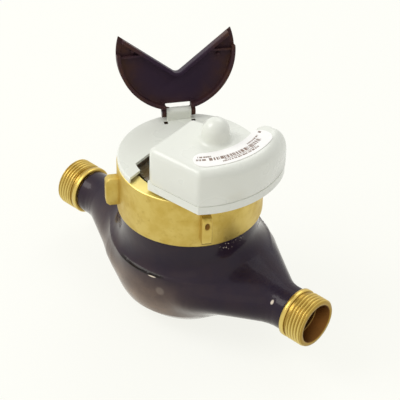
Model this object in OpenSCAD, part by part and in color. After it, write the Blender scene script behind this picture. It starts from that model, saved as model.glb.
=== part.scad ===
// Multi-jet water meter with a hinged lid and a clip-on reading module.
// The foot of the body rests on z = 0, the register axis is +Z and the outlet points along +X.

/* [Pipe ends] */
// Distance between the two end faces
laying_length = 220; // [200:1:260]
// Outside diameter of the end threads
thread_d = 33.25; // [31:0.05:36]
// Length of each bare threaded end, collar included
spigot_length = 17.5; // [14:0.5:20]
// Length of the smooth collar next to the coating
collar_length = 3.2; // [2:0.1:5]
// Width of the relief groove between collar and thread
groove_width = 2; // [1:0.1:3]
// Depth of the relief groove
groove_depth = 1.3; // [0.5:0.1:1.6]
// Chamfer at the mouth of each thread
thread_chamfer = 1.2; // [0.5:0.1:2]
// Diameter of the wide bore at each end
bore_d = 26; // [22:0.1:28]
// Depth of the wide bore
bore_depth = 20; // [15:0.5:24]
// Diameter of the strainer's seat behind the bore
seat_d = 24; // [21:0.1:25.6]
// Outside diameter of the coated neck
neck_d = 29.6; // [28:0.1:34]
// Length of the straight neck behind the collar
neck_length = 12; // [6:0.5:16]
// Diameter of the passages between the bores and the bowl
passage_d = 16; // [12:0.5:17]

/* [Body] */
// Height of the pipe axis above the foot
axis_height = 37; // [34:0.5:42]
// Largest radius of the bowl
bowl_r = 51; // [50:0.5:56]
// Radius of the flat foot
foot_r = 22; // [16:0.5:26]
// Height of the crease round the bowl
crease_height = 50.5; // [47:0.5:54]
// Depth of the step at the crease
crease_step = 0.9; // [0.3:0.1:1.5]
// Radius of the shoulder under the head ring
shoulder_r = 45.6; // [45:0.1:47]
// Distance from the register axis to the web's widest section
web_out = 34; // [30:0.5:38]
// Half width of the web where each pipe flares into the bowl
web_half_width = 43.5; // [40:0.5:46]
// Half height of the web there
web_half_height = 21; // [18:0.5:24]
// Radius of the bowl's inside
cavity_r = 38.5; // [38:0.1:40]
// Thickness of the bowl's floor
floor_thickness = 11; // [8:0.5:13]
// Radius of the male thread for the head ring
head_thread_r = 43; // [42.5:0.1:44]

/* [Head ring] */
// Outside radius of the head ring
ring_r = 47.5; // [47:0.1:50]
// Height of the head ring
ring_height = 34.5; // [34.5:0.5:40]
// Height of the ring's lower edge above the foot
ring_bottom = 75.5; // [74:0.5:80]
// Height of the threaded part of the ring
ring_thread_height = 20; // [18:0.5:20]
// Radius of the ring's upper opening
ring_opening_r = 37.4; // [37.2:0.1:39]
// Number of wrench lugs
lug_count = 4; // [2:1:8]
// Width of a lug
lug_width = 6.6; // [4:0.2:10]
// How far a lug stands out
lug_reach = 7.9; // [4:0.1:10]
// Height of a lug
lug_height = 20.4; // [12:0.2:24]
// Height of a lug's foot above the ring's lower edge
lug_rise = 6.5; // [2:0.5:10]
// Turn of the lugs about the register axis
lug_turn = 54; // [0:1:89]

/* [Measuring chamber] */
// Outside radius of the chamber basket
basket_r = 33; // [31:0.5:34]
// Wall of the basket
basket_wall = 3; // [2:0.1:4]
// Number of jets in each row
jet_count = 10; // [6:1:14]
// Width of a jet
jet_width = 4; // [2:0.2:5]
// Height of a jet
jet_height = 10; // [6:0.5:12]
// Radius of the impeller
impeller_r = 26; // [20:0.5:28]
// Number of impeller vanes
vane_count = 8; // [5:1:10]
// Radius of the impeller's pivot pin
pivot_r = 1.5; // [1:0.1:2]
// Radius of the impeller's upper shaft
impeller_shaft_r = 3; // [2.6:0.1:4]
// Radial clearance of a running shaft
running_clearance = 0.05; // [0.02:0.01:0.09]

/* [Register] */
// Turn of the register, its lid and its module about the register axis
register_turn = 54; // [0:1:359]
// Outside radius of the register can
can_r = 36.8; // [36.4:0.1:37]
// Wall of the can
can_wall = 2; // [1.6:0.1:2.4]
// Thickness of the register glass
glass_thickness = 2.4; // [1.8:0.1:3]
// Radius of the two magnets
magnet_r = 9; // [6:0.5:10]
// Size of one gear tooth, pitch diameter over tooth count
gear_module = 0.6; // [0.55:0.01:0.62]
// Number of rollers in the counter
roller_count = 5; // [3:1:5]
// Radius of a number roller
roller_r = 3.7; // [3:0.1:3.8]
// Distance between two rollers
roller_pitch = 4.7; // [4:0.1:4.8]
// Gap between two rollers
roller_gap = 0.3; // [0.2:0.05:0.6]
// Distance of the roller shaft behind the register axis
roller_back = 21; // [20:0.5:21.5]
// Sideways shift of the rollers
roller_shift = 3.5; // [0:0.5:4]

/* [Cover] */
// Radius of the register cover
cover_r = 47; // [46:0.1:47.5]
// Thickness of the cover plate
cover_thickness = 4; // [3:0.1:4.4]
// Half angle of the cover's V cut-out
cut_half_angle = 47.5; // [44:0.5:50]
// Distance of the cut-out's outer edges from the register axis
cut_outer_offset = 14.7; // [12:0.1:17]
// Distance of the cut-out's inner edges from the register axis
cut_inner_offset = 21.4; // [18:0.1:23]
// Width of the hinge lug
hinge_width = 16.4; // [12:0.2:20]
// Distance of the hinge axis behind the register axis
hinge_back = 43; // [42.5:0.1:43.4]
// Height of the hinge axis above the cover
hinge_rise = 4.6; // [4:0.1:5.4]
// Radius of the hinge pin
hinge_pin_r = 1.5; // [1:0.1:1.8]
// Wall of the hinge lug round its pin
hinge_wall = 1.6; // [1.2:0.1:1.8]

/* [Lid] */
// Radius of the lid
lid_r = 39; // [38:0.1:39.8]
// Thickness of the lid's plate
lid_thickness = 2.2; // [1.6:0.1:3]
// Depth of the skirt under the plate
lid_skirt = 5.6; // [4:0.1:6.5]
// Wall of the skirt
lid_wall = 2.4; // [1.6:0.1:3]
// Half angle of the V notch
notch_half_angle = 53.5; // [50:0.5:55]
// Distance of the notch's point behind the lid's centre
notch_back = 14.5; // [12:0.5:17]
// Rounding of the notch's point
notch_round = 4; // [2:0.5:6]
// Shift of the lid's centre towards the hinge
lid_shift = 2.5; // [2:0.1:3]
// Length of the gap in the skirt beside each tip
tip_gap = 12; // [8:0.5:14]
// Angle from the lid's front to the middle of the tip gap
tip_gap_angle = 79; // [77:0.5:81]
// Angle from the lid's front to the rib behind each tip
tip_rib_angle = 92; // [90:0.5:96]
// Thickness of a tip rib
tip_rib_thickness = 1.4; // [1:0.1:2]
// Height of a tip rib below the lid's plate
tip_rib_height = 3; // [2:0.1:4]
// Thickness of a hinge ear
ear_thickness = 2.5; // [2:0.1:3.5]
// Angle to which the lid stands open
lid_open = 107; // [95:1:112]

/* [Module] */
// Radius of the module's outer wall about the register axis
module_r = 61.5; // [58:0.5:66]
// Half angle between the module's flanks
flank_angle = 49; // [46:0.5:50]
// Radius of the module's near corner
corner_r = 45; // [43:0.5:47]
// Angle from the front axis to the module's front corner
front_corner_angle = -7; // [-12:0.5:-3]
// Angle from the front axis to the module's round far end
end_angle = 61; // [56:0.5:68]
// Radius where the module passes outside the lid
shoulder_clear_r = 42; // [41.6:0.1:44]
// Radius of the module's nose
nose_r = 5; // [3:0.5:7]
// Height of the whole module
module_height = 31; // [26:0.5:36]
// Height of the module's base
base_height = 6; // [4.5:0.1:7]
// Gap between the head ring and the module's base
module_rise = 2; // [1:0.1:3]
// Rounding of the module's outer top edge
module_fillet = 6; // [3:0.5:8]
// Wall of the module
module_wall = 2.4; // [1.8:0.1:3]
// Distance of the dome from the register axis
dome_out = 28.6; // [26:0.2:30]
// Angle from the front axis to the dome
dome_angle = 20; // [15:0.5:24]
// Radius of the dome
dome_r = 10.2; // [8:0.2:11]
// Height of the dome above the module's top
dome_height = 15; // [12:0.5:18]
// Inner radius of the label
label_in_r = 41; // [39:0.5:44]
// Outer radius of the label
label_out_r = 55; // [52:0.5:55.5]
// Thickness of the label
label_thickness = 0.4; // [0.2:0.05:0.8]

/* [Hidden] */

$fn = 96;
eps = 0.01;
fit_gap = 0.3;
coating_colour = [0.12, 0.11, 0.19];
brass_colour = [0.80, 0.67, 0.33];
grey_colour = [0.90, 0.91, 0.88];
lid_colour = [0.19, 0.16, 0.20];
steel_colour = [0.70, 0.71, 0.73];

// Pipe ends, measured along the pipe from the register axis
half_length = laying_length / 2;
coating_end = half_length - spigot_length;
neck_start = coating_end - neck_length;
bore_start = half_length - bore_depth;
seat_depth = 2;

// Heights in the wet side, from the foot up
partition_top = axis_height + 2;
partition_thickness = 5;
partition_r = basket_r + fit_gap;
basket_bottom = floor_thickness + 4;
basket_floor = 4;
basket_flange = 2.5;
slip_thickness = 1.5;
plate_thickness = 4;
gasket_thickness = 2;
plug_depth = 18;
chamber_cover_thickness = 4;
plate_top = ring_bottom + ring_thread_height - slip_thickness;
plate_bottom = plate_top - plate_thickness;
body_top = plate_bottom - gasket_thickness;
plug_bottom = plate_bottom - plug_depth;
basket_top = plug_bottom - chamber_cover_thickness;
pivot_bottom = basket_bottom + 1;
pivot_length = 24;
pivot_top = pivot_bottom + pivot_length;
impeller_bottom = basket_bottom + basket_floor + 4;
impeller_top = plate_bottom - 4;
ring_top = ring_bottom + ring_height;
flange_r = head_thread_r - 0.4;
flange_in_r = cavity_r + 0.1;

// Heights in the register, from the can's floor up
can_bottom = plate_top;
can_floor = 1.4;
can_inside = can_bottom + can_floor;
glass_bottom = ring_top - glass_thickness;
dial_thickness = 0.8;
dial_bottom = glass_bottom - 3.3;
level_height = 1.1;
level_b = dial_bottom - 0.4 - level_height;
level_a = level_b - 0.2 - level_height;
bridge_thickness = 1;
bridge_bottom = level_a - 0.2 - bridge_thickness;
magnet_height = 3;
magnet_bottom = bridge_bottom - 0.4 - magnet_height;
spindle_r = 1.2;
spindle_bore_r = spindle_r + running_clearance;
boss_r = 2.6;
can_in_r = can_r - can_wall;
ledge = 0.9;
dial_r = can_in_r - 0.2 + ledge;
shield_out_r = can_in_r - 0.2;
bush_bottom = magnet_bottom + 0.2;
roller_at = [roller_shift, roller_back];
roller_axis_height = dial_bottom + dial_thickness - 0.2 - roller_r;
roller_shaft_r = 1;
roller_width = roller_pitch - roller_gap;
rollers_half = roller_count * roller_pitch / 2;
cheek_thickness = 1.6;
cheek_gap = 0.4;

// Gears: tooth counts and centre distances
pinion_teeth = 12;
wheel_teeth = 48;
pulse_teeth = 24;
first_centre = gear_module * (pinion_teeth + wheel_teeth) / 2;
second_centre = gear_module * (pinion_teeth + pulse_teeth) / 2;
pulse_out = 0.9375 * (first_centre + second_centre);
pulse_angle = -90 + dome_angle;
pulse_disc_r = 5.5;
wheel_swing = acos((pulse_out * pulse_out + first_centre * first_centre - second_centre * second_centre)
    / (2 * pulse_out * first_centre));
wheel_angle = pulse_angle - wheel_swing;
pulse_at = pulse_out * [cos(pulse_angle), sin(pulse_angle)];
wheel_at = first_centre * [cos(wheel_angle), sin(wheel_angle)];

// Cover, hinge and lid
cover_bottom = ring_top;
cover_top = cover_bottom + cover_thickness;
hinge_z = cover_top + hinge_rise;
hinge_lug_r = hinge_pin_r + hinge_wall;
ear_gap = 0.3;
ear_inside = hinge_width / 2 + ear_gap;
ear_r = hinge_pin_r + running_clearance + 1.8;
lid_bottom = cover_top + fit_gap;
lid_top = lid_bottom + lid_skirt + lid_thickness;
pin_half = ear_inside + ear_thickness + 0.4;

// Module
base_bottom = ring_top + module_rise;
seam_z = base_bottom + base_height;
module_top = base_bottom + module_height;
seam_groove = 0.5;
foot_inset = 3;
foot_in_r = 12;
end_r = (module_r - shoulder_clear_r) / 2;
end_at = (module_r + shoulder_clear_r) / 2 * front_dir(end_angle);
dome_at = dome_out * front_dir(dome_angle);
board_z = base_bottom + module_wall;
board_thickness = 1.6;
coil_r = 6.5;
battery_r = 7.2;
battery_length = 26;

// Direction at an angle to the right of the register's front
function front_dir(angle) = [sin(angle), -cos(angle)];

// Points along an arc of a circle
function arc_points(centre, r, from, to, steps) =
    [for (i = [0 : steps]) let (a = from + (to - from) * i / steps) centre + r * [cos(a), sin(a)]];

// Points along an arc given by directions from the register's front
function front_arc(centre, r, from, to, steps) =
    [for (i = [0 : steps]) centre + r * front_dir(from + (to - from) * i / steps)];

// Point where two lines meet, each given by its normal and its distance from the register axis
function meet(n1, d1, n2, d2) =
    let (det = n1.x * n2.y - n1.y * n2.x)
    [(d1 * n2.y - d2 * n1.y) / det, (n1.x * d2 - n2.x * d1) / det];

// Point where a line crosses a circle about the register axis
function line_on_circle(n, d, r, side) = d * n + side * sqrt(r * r - d * d) * [-n.y, n.x];

// Rounds one corner of an outline
function round_corner(before, at, after, r, steps = 5) =
    let (u = (before - at) / norm(before - at),
         v = (after - at) / norm(after - at),
         half = acos(u * v) / 2,
         mid = (u + v) / norm(u + v),
         centre = at + mid * r / sin(half),
         first = at + u * r / tan(half) - centre,
         last = at + v * r / tan(half) - centre,
         sweep = 180 - 2 * half,
         turn = sign(first.x * last.y - first.y * last.x))
    [for (i = [0 : steps])
        let (a = turn * sweep * i / steps)
        centre + [first.x * cos(a) - first.y * sin(a), first.x * sin(a) + first.y * cos(a)]];

module ring_solid(outer, inner, from, to) {
    rotate_extrude()
        polygon([[inner, from], [outer, from], [outer, to], [inner, to]]);
}

module along_x(from, r, length) {
    translate([from, 0, axis_height])
        rotate([0, 90, 0])
            cylinder(r = r, h = length);
}

module both_ends() {
    children();
    mirror([1, 0, 0]) children();
}

// Turns a shape drawn with the register's front along -Y to its place on the meter
module in_register() {
    rotate([0, 0, register_turn]) children();
}

// Body
module bowl() {
    belly = bowl_r - foot_r;
    upper = bowl_r - crease_step;
    neck_z = ring_bottom - 10;
    outline = concat(
        [[0, 0], [foot_r, 0]],
        [for (i = [1 : 10]) let (a = 90 * i / 10) [foot_r + belly * sin(a), axis_height * (1 - cos(a))]],
        [[bowl_r, crease_height - 1], [upper, crease_height]],
        [for (i = [1 : 8]) let (a = 90 * i / 8)
            [upper - (upper - shoulder_r) * sin(a), neck_z - (neck_z - crease_height) * cos(a)]],
        [[shoulder_r, ring_bottom - 1.5], [shoulder_r - 1.2, ring_bottom - 0.3],
         [head_thread_r, ring_bottom - 0.3], [head_thread_r, body_top], [0, body_top]]);
    rotate_extrude() polygon(outline);
}

// Thin oval slice across the pipe
module oval_slice(from, half_width, half_height) {
    translate([from, 0, axis_height])
        scale([1, 1, half_height / half_width])
            rotate([0, 90, 0])
                cylinder(r = half_width, h = 1, $fn = 40);
}

module flare() {
    hull() {
        oval_slice(neck_start, neck_d / 2, neck_d / 2);
        oval_slice(web_out, web_half_width, web_half_height);
        oval_slice(0, bowl_r - 1, 0.75 * web_half_height);
    }
}

module spigot() {
    thread_start = coating_end + collar_length + groove_width;
    along_x(neck_start, neck_d / 2, half_length - neck_start - 1);
    along_x(coating_end, thread_d / 2, collar_length);
    along_x(coating_end, thread_d / 2 - groove_depth, collar_length + groove_width + 1);
    translate([thread_start, 0, axis_height])
        rotate([0, 90, 0])
            rotate_extrude()
                polygon([
                    [0, 0], [thread_d / 2 - groove_depth, 0], [thread_d / 2, groove_depth],
                    [thread_d / 2, half_length - thread_start - thread_chamfer],
                    [thread_d / 2 - thread_chamfer, half_length - thread_start],
                    [0, half_length - thread_start]
                ]);
}

// Slanted passage between a pipe's bore and the bowl's inside
module passage(rise) {
    run = bore_start - cavity_r + 10;
    translate([bore_start, 0, axis_height])
        rotate([0, -90 + atan(rise / run), 0])
            cylinder(d = passage_d, h = norm([run, rise]));
}

module body_cavity() {
    rotate_extrude()
        polygon([
            [0, floor_thickness], [cavity_r, floor_thickness],
            [cavity_r, partition_top - partition_thickness],
            [partition_r, partition_top - partition_thickness],
            [partition_r, partition_top], [cavity_r, partition_top],
            [cavity_r, body_top + 1], [0, body_top + 1]
        ]);
}

module meter_body() {
    outlet_rise = 11.5;
    inlet_rise = -10;
    color(coating_colour) difference() {
        union() {
            bowl();
            both_ends() {
                flare();
                spigot();
            }
        }
        body_cavity();
        both_ends() {
            along_x(bore_start, bore_d / 2, bore_depth + 1);
            along_x(bore_start - seat_depth, seat_d / 2, seat_depth + 1);
        }
        passage(outlet_rise);
        mirror([1, 0, 0]) passage(inlet_rise);
    }
}

// Sieve in the inlet, pressed into its seat with the cone pointing inwards
module inlet_strainer() {
    wall = 1;
    depth = 15;
    bars = 10;
    mouth_r = passage_d / 2 - 1.5;
    tip_r = 3;
    color("ivory")
        translate([-bore_start, 0, axis_height])
            rotate([0, 90, 0]) difference() {
                rotate_extrude()
                    polygon([
                        [mouth_r - wall, 0], [seat_d / 2, 0], [seat_d / 2, seat_depth],
                        [mouth_r, seat_depth], [tip_r, depth], [0, depth], [0, depth - wall],
                        [tip_r - wall, depth - wall]
                    ]);
                for (i = [0 : bars - 1])
                    rotate([0, 0, 360 * i / bars])
                        translate([tip_r / 2, -0.6, seat_depth + 1])
                            cube([mouth_r, 1.2, depth - seat_depth - wall - 2]);
            }
}

// Measuring chamber
module jet_row(height, sense) {
    for (i = [0 : jet_count - 1])
        rotate([0, 0, 360 * i / jet_count])
            translate([sense * (basket_r - basket_wall - jet_width), 0, height])
                translate([-jet_width / 2, 0, 0])
                    cube([jet_width, basket_r + 1, jet_height]);
}

module chamber_basket() {
    inside = basket_r - basket_wall;
    color("ivory") difference() {
        rotate_extrude()
            polygon([
                [0, basket_bottom], [basket_r, basket_bottom], [basket_r, partition_top],
                [cavity_r - fit_gap, partition_top], [cavity_r - fit_gap, partition_top + basket_flange],
                [basket_r, partition_top + basket_flange], [basket_r, basket_top],
                [inside, basket_top], [inside, basket_bottom + basket_floor],
                [0, basket_bottom + basket_floor]
            ]);
        jet_row(basket_bottom + basket_floor + 5, 1);
        jet_row(basket_top - 5 - jet_height, -1);
        translate([0, 0, pivot_bottom])
            cylinder(r = pivot_r, h = basket_floor);
    }
}

module pivot_pin() {
    color(steel_colour)
        translate([0, 0, pivot_bottom])
            cylinder(r = pivot_r, h = pivot_top - pivot_bottom);
}

module impeller() {
    hub_r = 5;
    hub_top = basket_top - 4;
    vane_height = 28;
    vane_thickness = 1.8;
    color("white") difference() {
        translate([0, 0, impeller_bottom]) {
            cylinder(r = hub_r, h = hub_top - impeller_bottom);
            cylinder(r = impeller_shaft_r, h = impeller_top - impeller_bottom);
            for (i = [0 : vane_count - 1])
                rotate([0, 0, 360 * i / vane_count])
                    translate([hub_r - 1, -vane_thickness / 2, 0])
                        cube([impeller_r - hub_r + 1, vane_thickness, vane_height]);
        }
        translate([0, 0, impeller_bottom - 1])
            cylinder(r = pivot_r + running_clearance, h = pivot_top + fit_gap - impeller_bottom + 1);
    }
}

module impeller_magnet() {
    drive_height = 7.5;
    below_tip = 0.5;
    magnet_z = impeller_top - below_tip - drive_height;
    color("dimgray") ring_solid(magnet_r, impeller_shaft_r, magnet_z, magnet_z + drive_height);
}

module chamber_cover() {
    spigot_depth = 2;
    color("ivory")
        rotate_extrude()
            polygon([
                [impeller_shaft_r + running_clearance, basket_top - spigot_depth],
                [basket_r - basket_wall - 0.1, basket_top - spigot_depth],
                [basket_r - basket_wall - 0.1, basket_top], [basket_r, basket_top],
                [basket_r, plug_bottom], [impeller_shaft_r + running_clearance, plug_bottom]
            ]);
}

// Pressure plate with its seal and slip ring
module head_gasket() {
    color("black") ring_solid(flange_r, flange_in_r, body_top, plate_bottom);
}

module pressure_plate() {
    plug_r = cavity_r - fit_gap;
    plug_in_r = basket_r - 2;
    thimble_r = magnet_r + 2;
    membrane = 2.6;
    color("gainsboro")
        rotate_extrude()
            polygon([
                [plug_r, plug_bottom], [plug_r, plate_bottom], [flange_r, plate_bottom],
                [flange_r, plate_top], [0, plate_top], [0, plate_top - membrane],
                [thimble_r, plate_top - membrane], [thimble_r, plate_bottom - 2],
                [plug_in_r, plate_bottom - 2], [plug_in_r, plug_bottom]
            ]);
}

module slip_ring() {
    color("khaki") ring_solid(flange_r, can_r + 1.2, plate_top, plate_top + slip_thickness);
}

// Head ring with its wrench lugs
module lug() {
    chamfer = 2.2;
    inner = ring_r - 1.5;
    outer = ring_r + lug_reach;
    recess_width = 4.4;
    recess_depth = 1;
    recess_rise = 0.58 * lug_height;
    foot_z = ring_bottom + lug_rise;
    difference() {
        translate([0, lug_width / 2, foot_z])
            rotate([90, 0, 0])
                linear_extrude(lug_width)
                    polygon([
                        [inner, 0], [outer - chamfer, 0], [outer, chamfer],
                        [outer, lug_height - chamfer], [outer - chamfer, lug_height], [inner, lug_height]
                    ]);
        translate([outer - recess_depth, 0, foot_z + recess_rise])
            rotate([0, 90, 0]) {
                for (side = [-1, 1])
                    translate([side * recess_width / 2, 0, 0]) cylinder(d = recess_width, h = lug_reach);
                translate([-recess_width / 2, -recess_width / 2, 0])
                    cube([recess_width, recess_width, lug_reach]);
            }
    }
}

module head_ring() {
    edge = 1;
    clamp_z = ring_bottom + ring_thread_height;
    thread_in_r = head_thread_r + 0.05;
    color(brass_colour) {
        rotate_extrude()
            polygon([
                [thread_in_r, ring_bottom], [ring_r - edge, ring_bottom], [ring_r, ring_bottom + edge],
                [ring_r, ring_top - edge], [ring_r - edge, ring_top], [ring_opening_r, ring_top],
                [ring_opening_r, clamp_z], [thread_in_r, clamp_z]
            ]);
        for (i = [0 : lug_count - 1])
            rotate([0, 0, lug_turn + 360 * i / lug_count]) lug();
    }
}

// Register
module register_can() {
    sink = 0.2;
    color("dimgray") {
        rotate_extrude()
            polygon([
                [0, can_bottom], [can_r, can_bottom], [can_r, glass_bottom],
                [can_in_r + ledge, glass_bottom], [can_in_r + ledge, dial_bottom],
                [can_in_r, dial_bottom], [can_in_r, can_inside], [0, can_inside]
            ]);
        translate([0, 0, can_inside]) difference() {
            translate([0, 0, -sink])
                cylinder(r = boss_r, h = magnet_bottom - fit_gap - can_inside + sink);
            translate([0, 0, sink]) cylinder(r = spindle_bore_r, h = magnet_bottom);
        }
    }
}

module shield_ring() {
    wall = 1.4;
    height = 4;
    color(steel_colour) ring_solid(shield_out_r, shield_out_r - wall, can_inside, can_inside + height);
}

// Plain gear with straight-sided teeth and some backlash, one tooth along +X
module gear(teeth, height) {
    pitch_r = gear_module * teeth / 2;
    tip_r = pitch_r + 0.8 * gear_module;
    root_r = pitch_r - 1.2 * gear_module;
    pitch_arc = gear_module * 180 / pitch_r;
    tip_half = 0.13 * pitch_arc;
    root_half = 0.34 * pitch_arc;
    linear_extrude(height)
        polygon([for (i = [0 : teeth - 1], step = [[-1, root_r, root_half], [-1, tip_r, tip_half],
                                                   [1, tip_r, tip_half], [1, root_r, root_half]])
            let (a = 360 * i / teeth + step[0] * step[2]) step[1] * [cos(a), sin(a)]]);
}

module drive_spindle() {
    foot_z = can_inside + 0.4;
    color(steel_colour) in_register() {
        translate([0, 0, foot_z])
            cylinder(r = spindle_r, h = level_b - foot_z);
        translate([0, 0, level_a])
            rotate([0, 0, wheel_angle]) gear(pinion_teeth, level_height);
    }
}

module follower_magnet() {
    color("dimgray") ring_solid(magnet_r, spindle_r, magnet_bottom, magnet_bottom + magnet_height);
}

module gear_plate() {
    bridge_r = can_in_r - 4;
    bridge_back = roller_back - roller_r - 1;
    cheek_x = rollers_half + cheek_gap;
    cheek_root = 2;
    cheek_tip = 2.2;
    post_r = 2.2;
    post_out = bridge_r - 4;
    color("goldenrod") in_register() difference() {
        union() {
            difference() {
                translate([0, 0, bridge_bottom]) cylinder(r = bridge_r, h = bridge_thickness);
                translate([-bridge_r, bridge_back, bridge_bottom - 1])
                    cube([2 * bridge_r, bridge_r, bridge_thickness + 2]);
            }
            translate([wheel_at.x, wheel_at.y, bush_bottom])
                cylinder(r = boss_r, h = bridge_bottom + eps - bush_bottom);
            for (a = [10, 170, 235])
                translate([post_out * cos(a), post_out * sin(a), can_inside])
                    cylinder(r = post_r, h = bridge_bottom + eps - can_inside);
            for (side = [-1, 1])
                translate([roller_at.x + side * (cheek_x + cheek_thickness / 2) - cheek_thickness / 2,
                           bridge_back - cheek_root, bridge_bottom])
                    cube([cheek_thickness, roller_back - bridge_back + cheek_root + cheek_tip,
                          level_b - bridge_bottom]);
        }
        for (at = [[0, 0], wheel_at])
            translate([at.x, at.y, can_inside - 1])
                cylinder(r = spindle_bore_r, h = ring_top - can_inside);
        translate([roller_at.x - cheek_x - 5, roller_at.y, roller_axis_height])
            rotate([0, 90, 0]) cylinder(r = roller_shaft_r, h = 2 * cheek_x + 10);
    }
}

module arbor(at, from, to) {
    translate([at.x, at.y, from]) cylinder(r = spindle_r, h = to - from);
}

module reduction_wheel() {
    color("gold") in_register() {
        arbor(wheel_at, bush_bottom, level_b + level_height);
        translate([wheel_at.x, wheel_at.y, 0]) {
            translate([0, 0, level_a])
                rotate([0, 0, wheel_angle + 180 + 180 / wheel_teeth]) gear(wheel_teeth, level_height);
            translate([0, 0, level_b])
                rotate([0, 0, atan2(pulse_at.y - wheel_at.y, pulse_at.x - wheel_at.x)])
                    gear(pinion_teeth, level_height);
        }
    }
}

// Pulse wheel: hangs in the dial plate, above the reduction wheel
module pulse_wheel() {
    disc_bottom = dial_bottom + dial_thickness + 0.3;
    disc_height = 0.8;
    mesh_angle = atan2(pulse_at.y - wheel_at.y, pulse_at.x - wheel_at.x);
    color("silver") in_register() {
        arbor(pulse_at, level_b, disc_bottom + disc_height);
        translate([pulse_at.x, pulse_at.y, 0]) {
            translate([0, 0, level_b])
                rotate([0, 0, 180 + 180 / pulse_teeth + mesh_angle]) gear(pulse_teeth, level_height);
            translate([0, 0, disc_bottom])
                difference() {
                    cylinder(r = pulse_disc_r, h = disc_height);
                    translate([spindle_r + 0.8, -pulse_disc_r, -1])
                        cube([pulse_disc_r, 2 * pulse_disc_r, disc_height + 2]);
                }
        }
    }
}

module roller_shaft() {
    half = rollers_half + cheek_gap + cheek_thickness;
    color(steel_colour) in_register()
        translate([roller_at.x - half, roller_at.y, roller_axis_height])
            rotate([0, 90, 0]) cylinder(r = roller_shaft_r, h = 2 * half);
}

// Number roller, counted from the right
module roller(index) {
    from = roller_at.x + rollers_half - index * roller_pitch + roller_gap / 2;
    color("whitesmoke") in_register()
        translate([from, roller_at.y, roller_axis_height])
            rotate([0, 90, 0]) difference() {
                cylinder(r = roller_r, h = roller_width);
                translate([0, 0, -1])
                    cylinder(r = roller_shaft_r + running_clearance, h = roller_width + 2);
            }
}

module dial_plate() {
    window_half = rollers_half + 0.2;
    window_depth = 4;
    color("white") difference() {
        translate([0, 0, dial_bottom]) cylinder(r = dial_r, h = dial_thickness);
        in_register() {
            translate([roller_at.x - window_half, roller_at.y - window_depth / 2, dial_bottom - 1])
                cube([2 * window_half, window_depth, dial_thickness + 2]);
            translate([pulse_at.x, pulse_at.y, dial_bottom - 1])
                cylinder(r = spindle_bore_r, h = dial_thickness + 2);
        }
    }
}

module register_glass() {
    color([0.85, 0.9, 0.9, 0.4])
        translate([0, 0, glass_bottom]) cylinder(r = can_r, h = glass_thickness);
}

// Cover: V cut-out with edges at a set distance from the register axis
module v_cut(offset_from_axis, height) {
    reach = 2 * cover_r;
    left = front_dir(-cut_half_angle);
    right = front_dir(cut_half_angle);
    left_out = front_dir(-cut_half_angle - 90);
    right_out = front_dir(cut_half_angle + 90);
    apex = meet(left_out, offset_from_axis, right_out, offset_from_axis);
    linear_extrude(height)
        polygon([apex, apex + reach * left, apex + reach * left + [0, -reach],
                 apex + reach * right + [0, -reach], apex + reach * right]);
}

module hinge_lug() {
    lug_depth = 2 * hinge_lug_r;
    translate([-hinge_width / 2, hinge_back, hinge_z])
        rotate([0, 90, 0]) cylinder(r = hinge_lug_r, h = hinge_width);
    translate([-hinge_width / 2, hinge_back - hinge_lug_r, cover_top - eps])
        cube([hinge_width, lug_depth, hinge_rise + eps]);
}

module register_cover() {
    edge = 0.8;
    slot = [2.6, 3];
    slot_half_distance = hinge_width / 2 + 1;
    slot_back = hinge_back - hinge_lug_r - 1;
    window_half = rollers_half + 0.6;
    window_depth = 4;
    color(grey_colour) in_register() difference() {
        union() {
            rotate_extrude()
                polygon([
                    [0, cover_bottom], [cover_r, cover_bottom], [cover_r, cover_top - edge],
                    [cover_r - edge, cover_top], [0, cover_top]
                ]);
            intersection() {
                hinge_lug();
                translate([0, 0, cover_bottom]) cylinder(r = cover_r, h = 3 * cover_thickness);
            }
        }
        translate([0, 0, cover_bottom - 1]) {
            v_cut(cut_outer_offset, cover_thickness + 2);
            intersection() {
                v_cut(cut_inner_offset, cover_thickness + 2);
                cylinder(r = can_r, h = cover_thickness + 2);
            }
            translate([roller_at.x - window_half, roller_at.y - window_depth / 2, 0])
                cube([2 * window_half, window_depth, cover_thickness + 2]);
        }
        module_prism(-fit_gap, base_bottom - fit_gap, cover_top + 1);
        for (side = [-1, 1])
            translate([side * slot_half_distance - slot.x / 2, slot_back - slot.y, cover_bottom - 1])
                cube([slot.x, slot.y, cover_thickness + 2]);
        translate([-hinge_width, hinge_back, hinge_z])
            rotate([0, 90, 0]) cylinder(r = hinge_pin_r, h = 2 * hinge_width);
    }
}

module hinge_pin() {
    color(steel_colour) in_register()
        translate([-pin_half, hinge_back, hinge_z])
            rotate([0, 90, 0]) cylinder(r = hinge_pin_r, h = 2 * pin_half);
}

// Lid, drawn closed: outline of the V notch, widened by a wall
module notch(inset, height) {
    reach = 3 * lid_r;
    left_out = front_dir(-notch_half_angle - 90);
    right_out = front_dir(notch_half_angle + 90);
    tip = notch_back * sin(notch_half_angle) + inset;
    apex = meet(left_out, tip, right_out, tip);
    left = apex + reach * front_dir(-notch_half_angle);
    right = apex + reach * front_dir(notch_half_angle);
    linear_extrude(height)
        polygon(concat(round_corner(left, apex, right, notch_round + inset),
                       [right, right + [0, -reach], left + [0, -reach], left]));
}

module lid_ear(side) {
    at = side > 0 ? ear_inside : -ear_inside - ear_thickness;
    arm = ear_r + 4;
    translate([at, hinge_back, hinge_z]) {
        rotate([0, 90, 0]) cylinder(r = ear_r, h = ear_thickness);
        translate([0, -arm, 0]) cube([ear_thickness, arm, ear_r]);
    }
}

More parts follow.
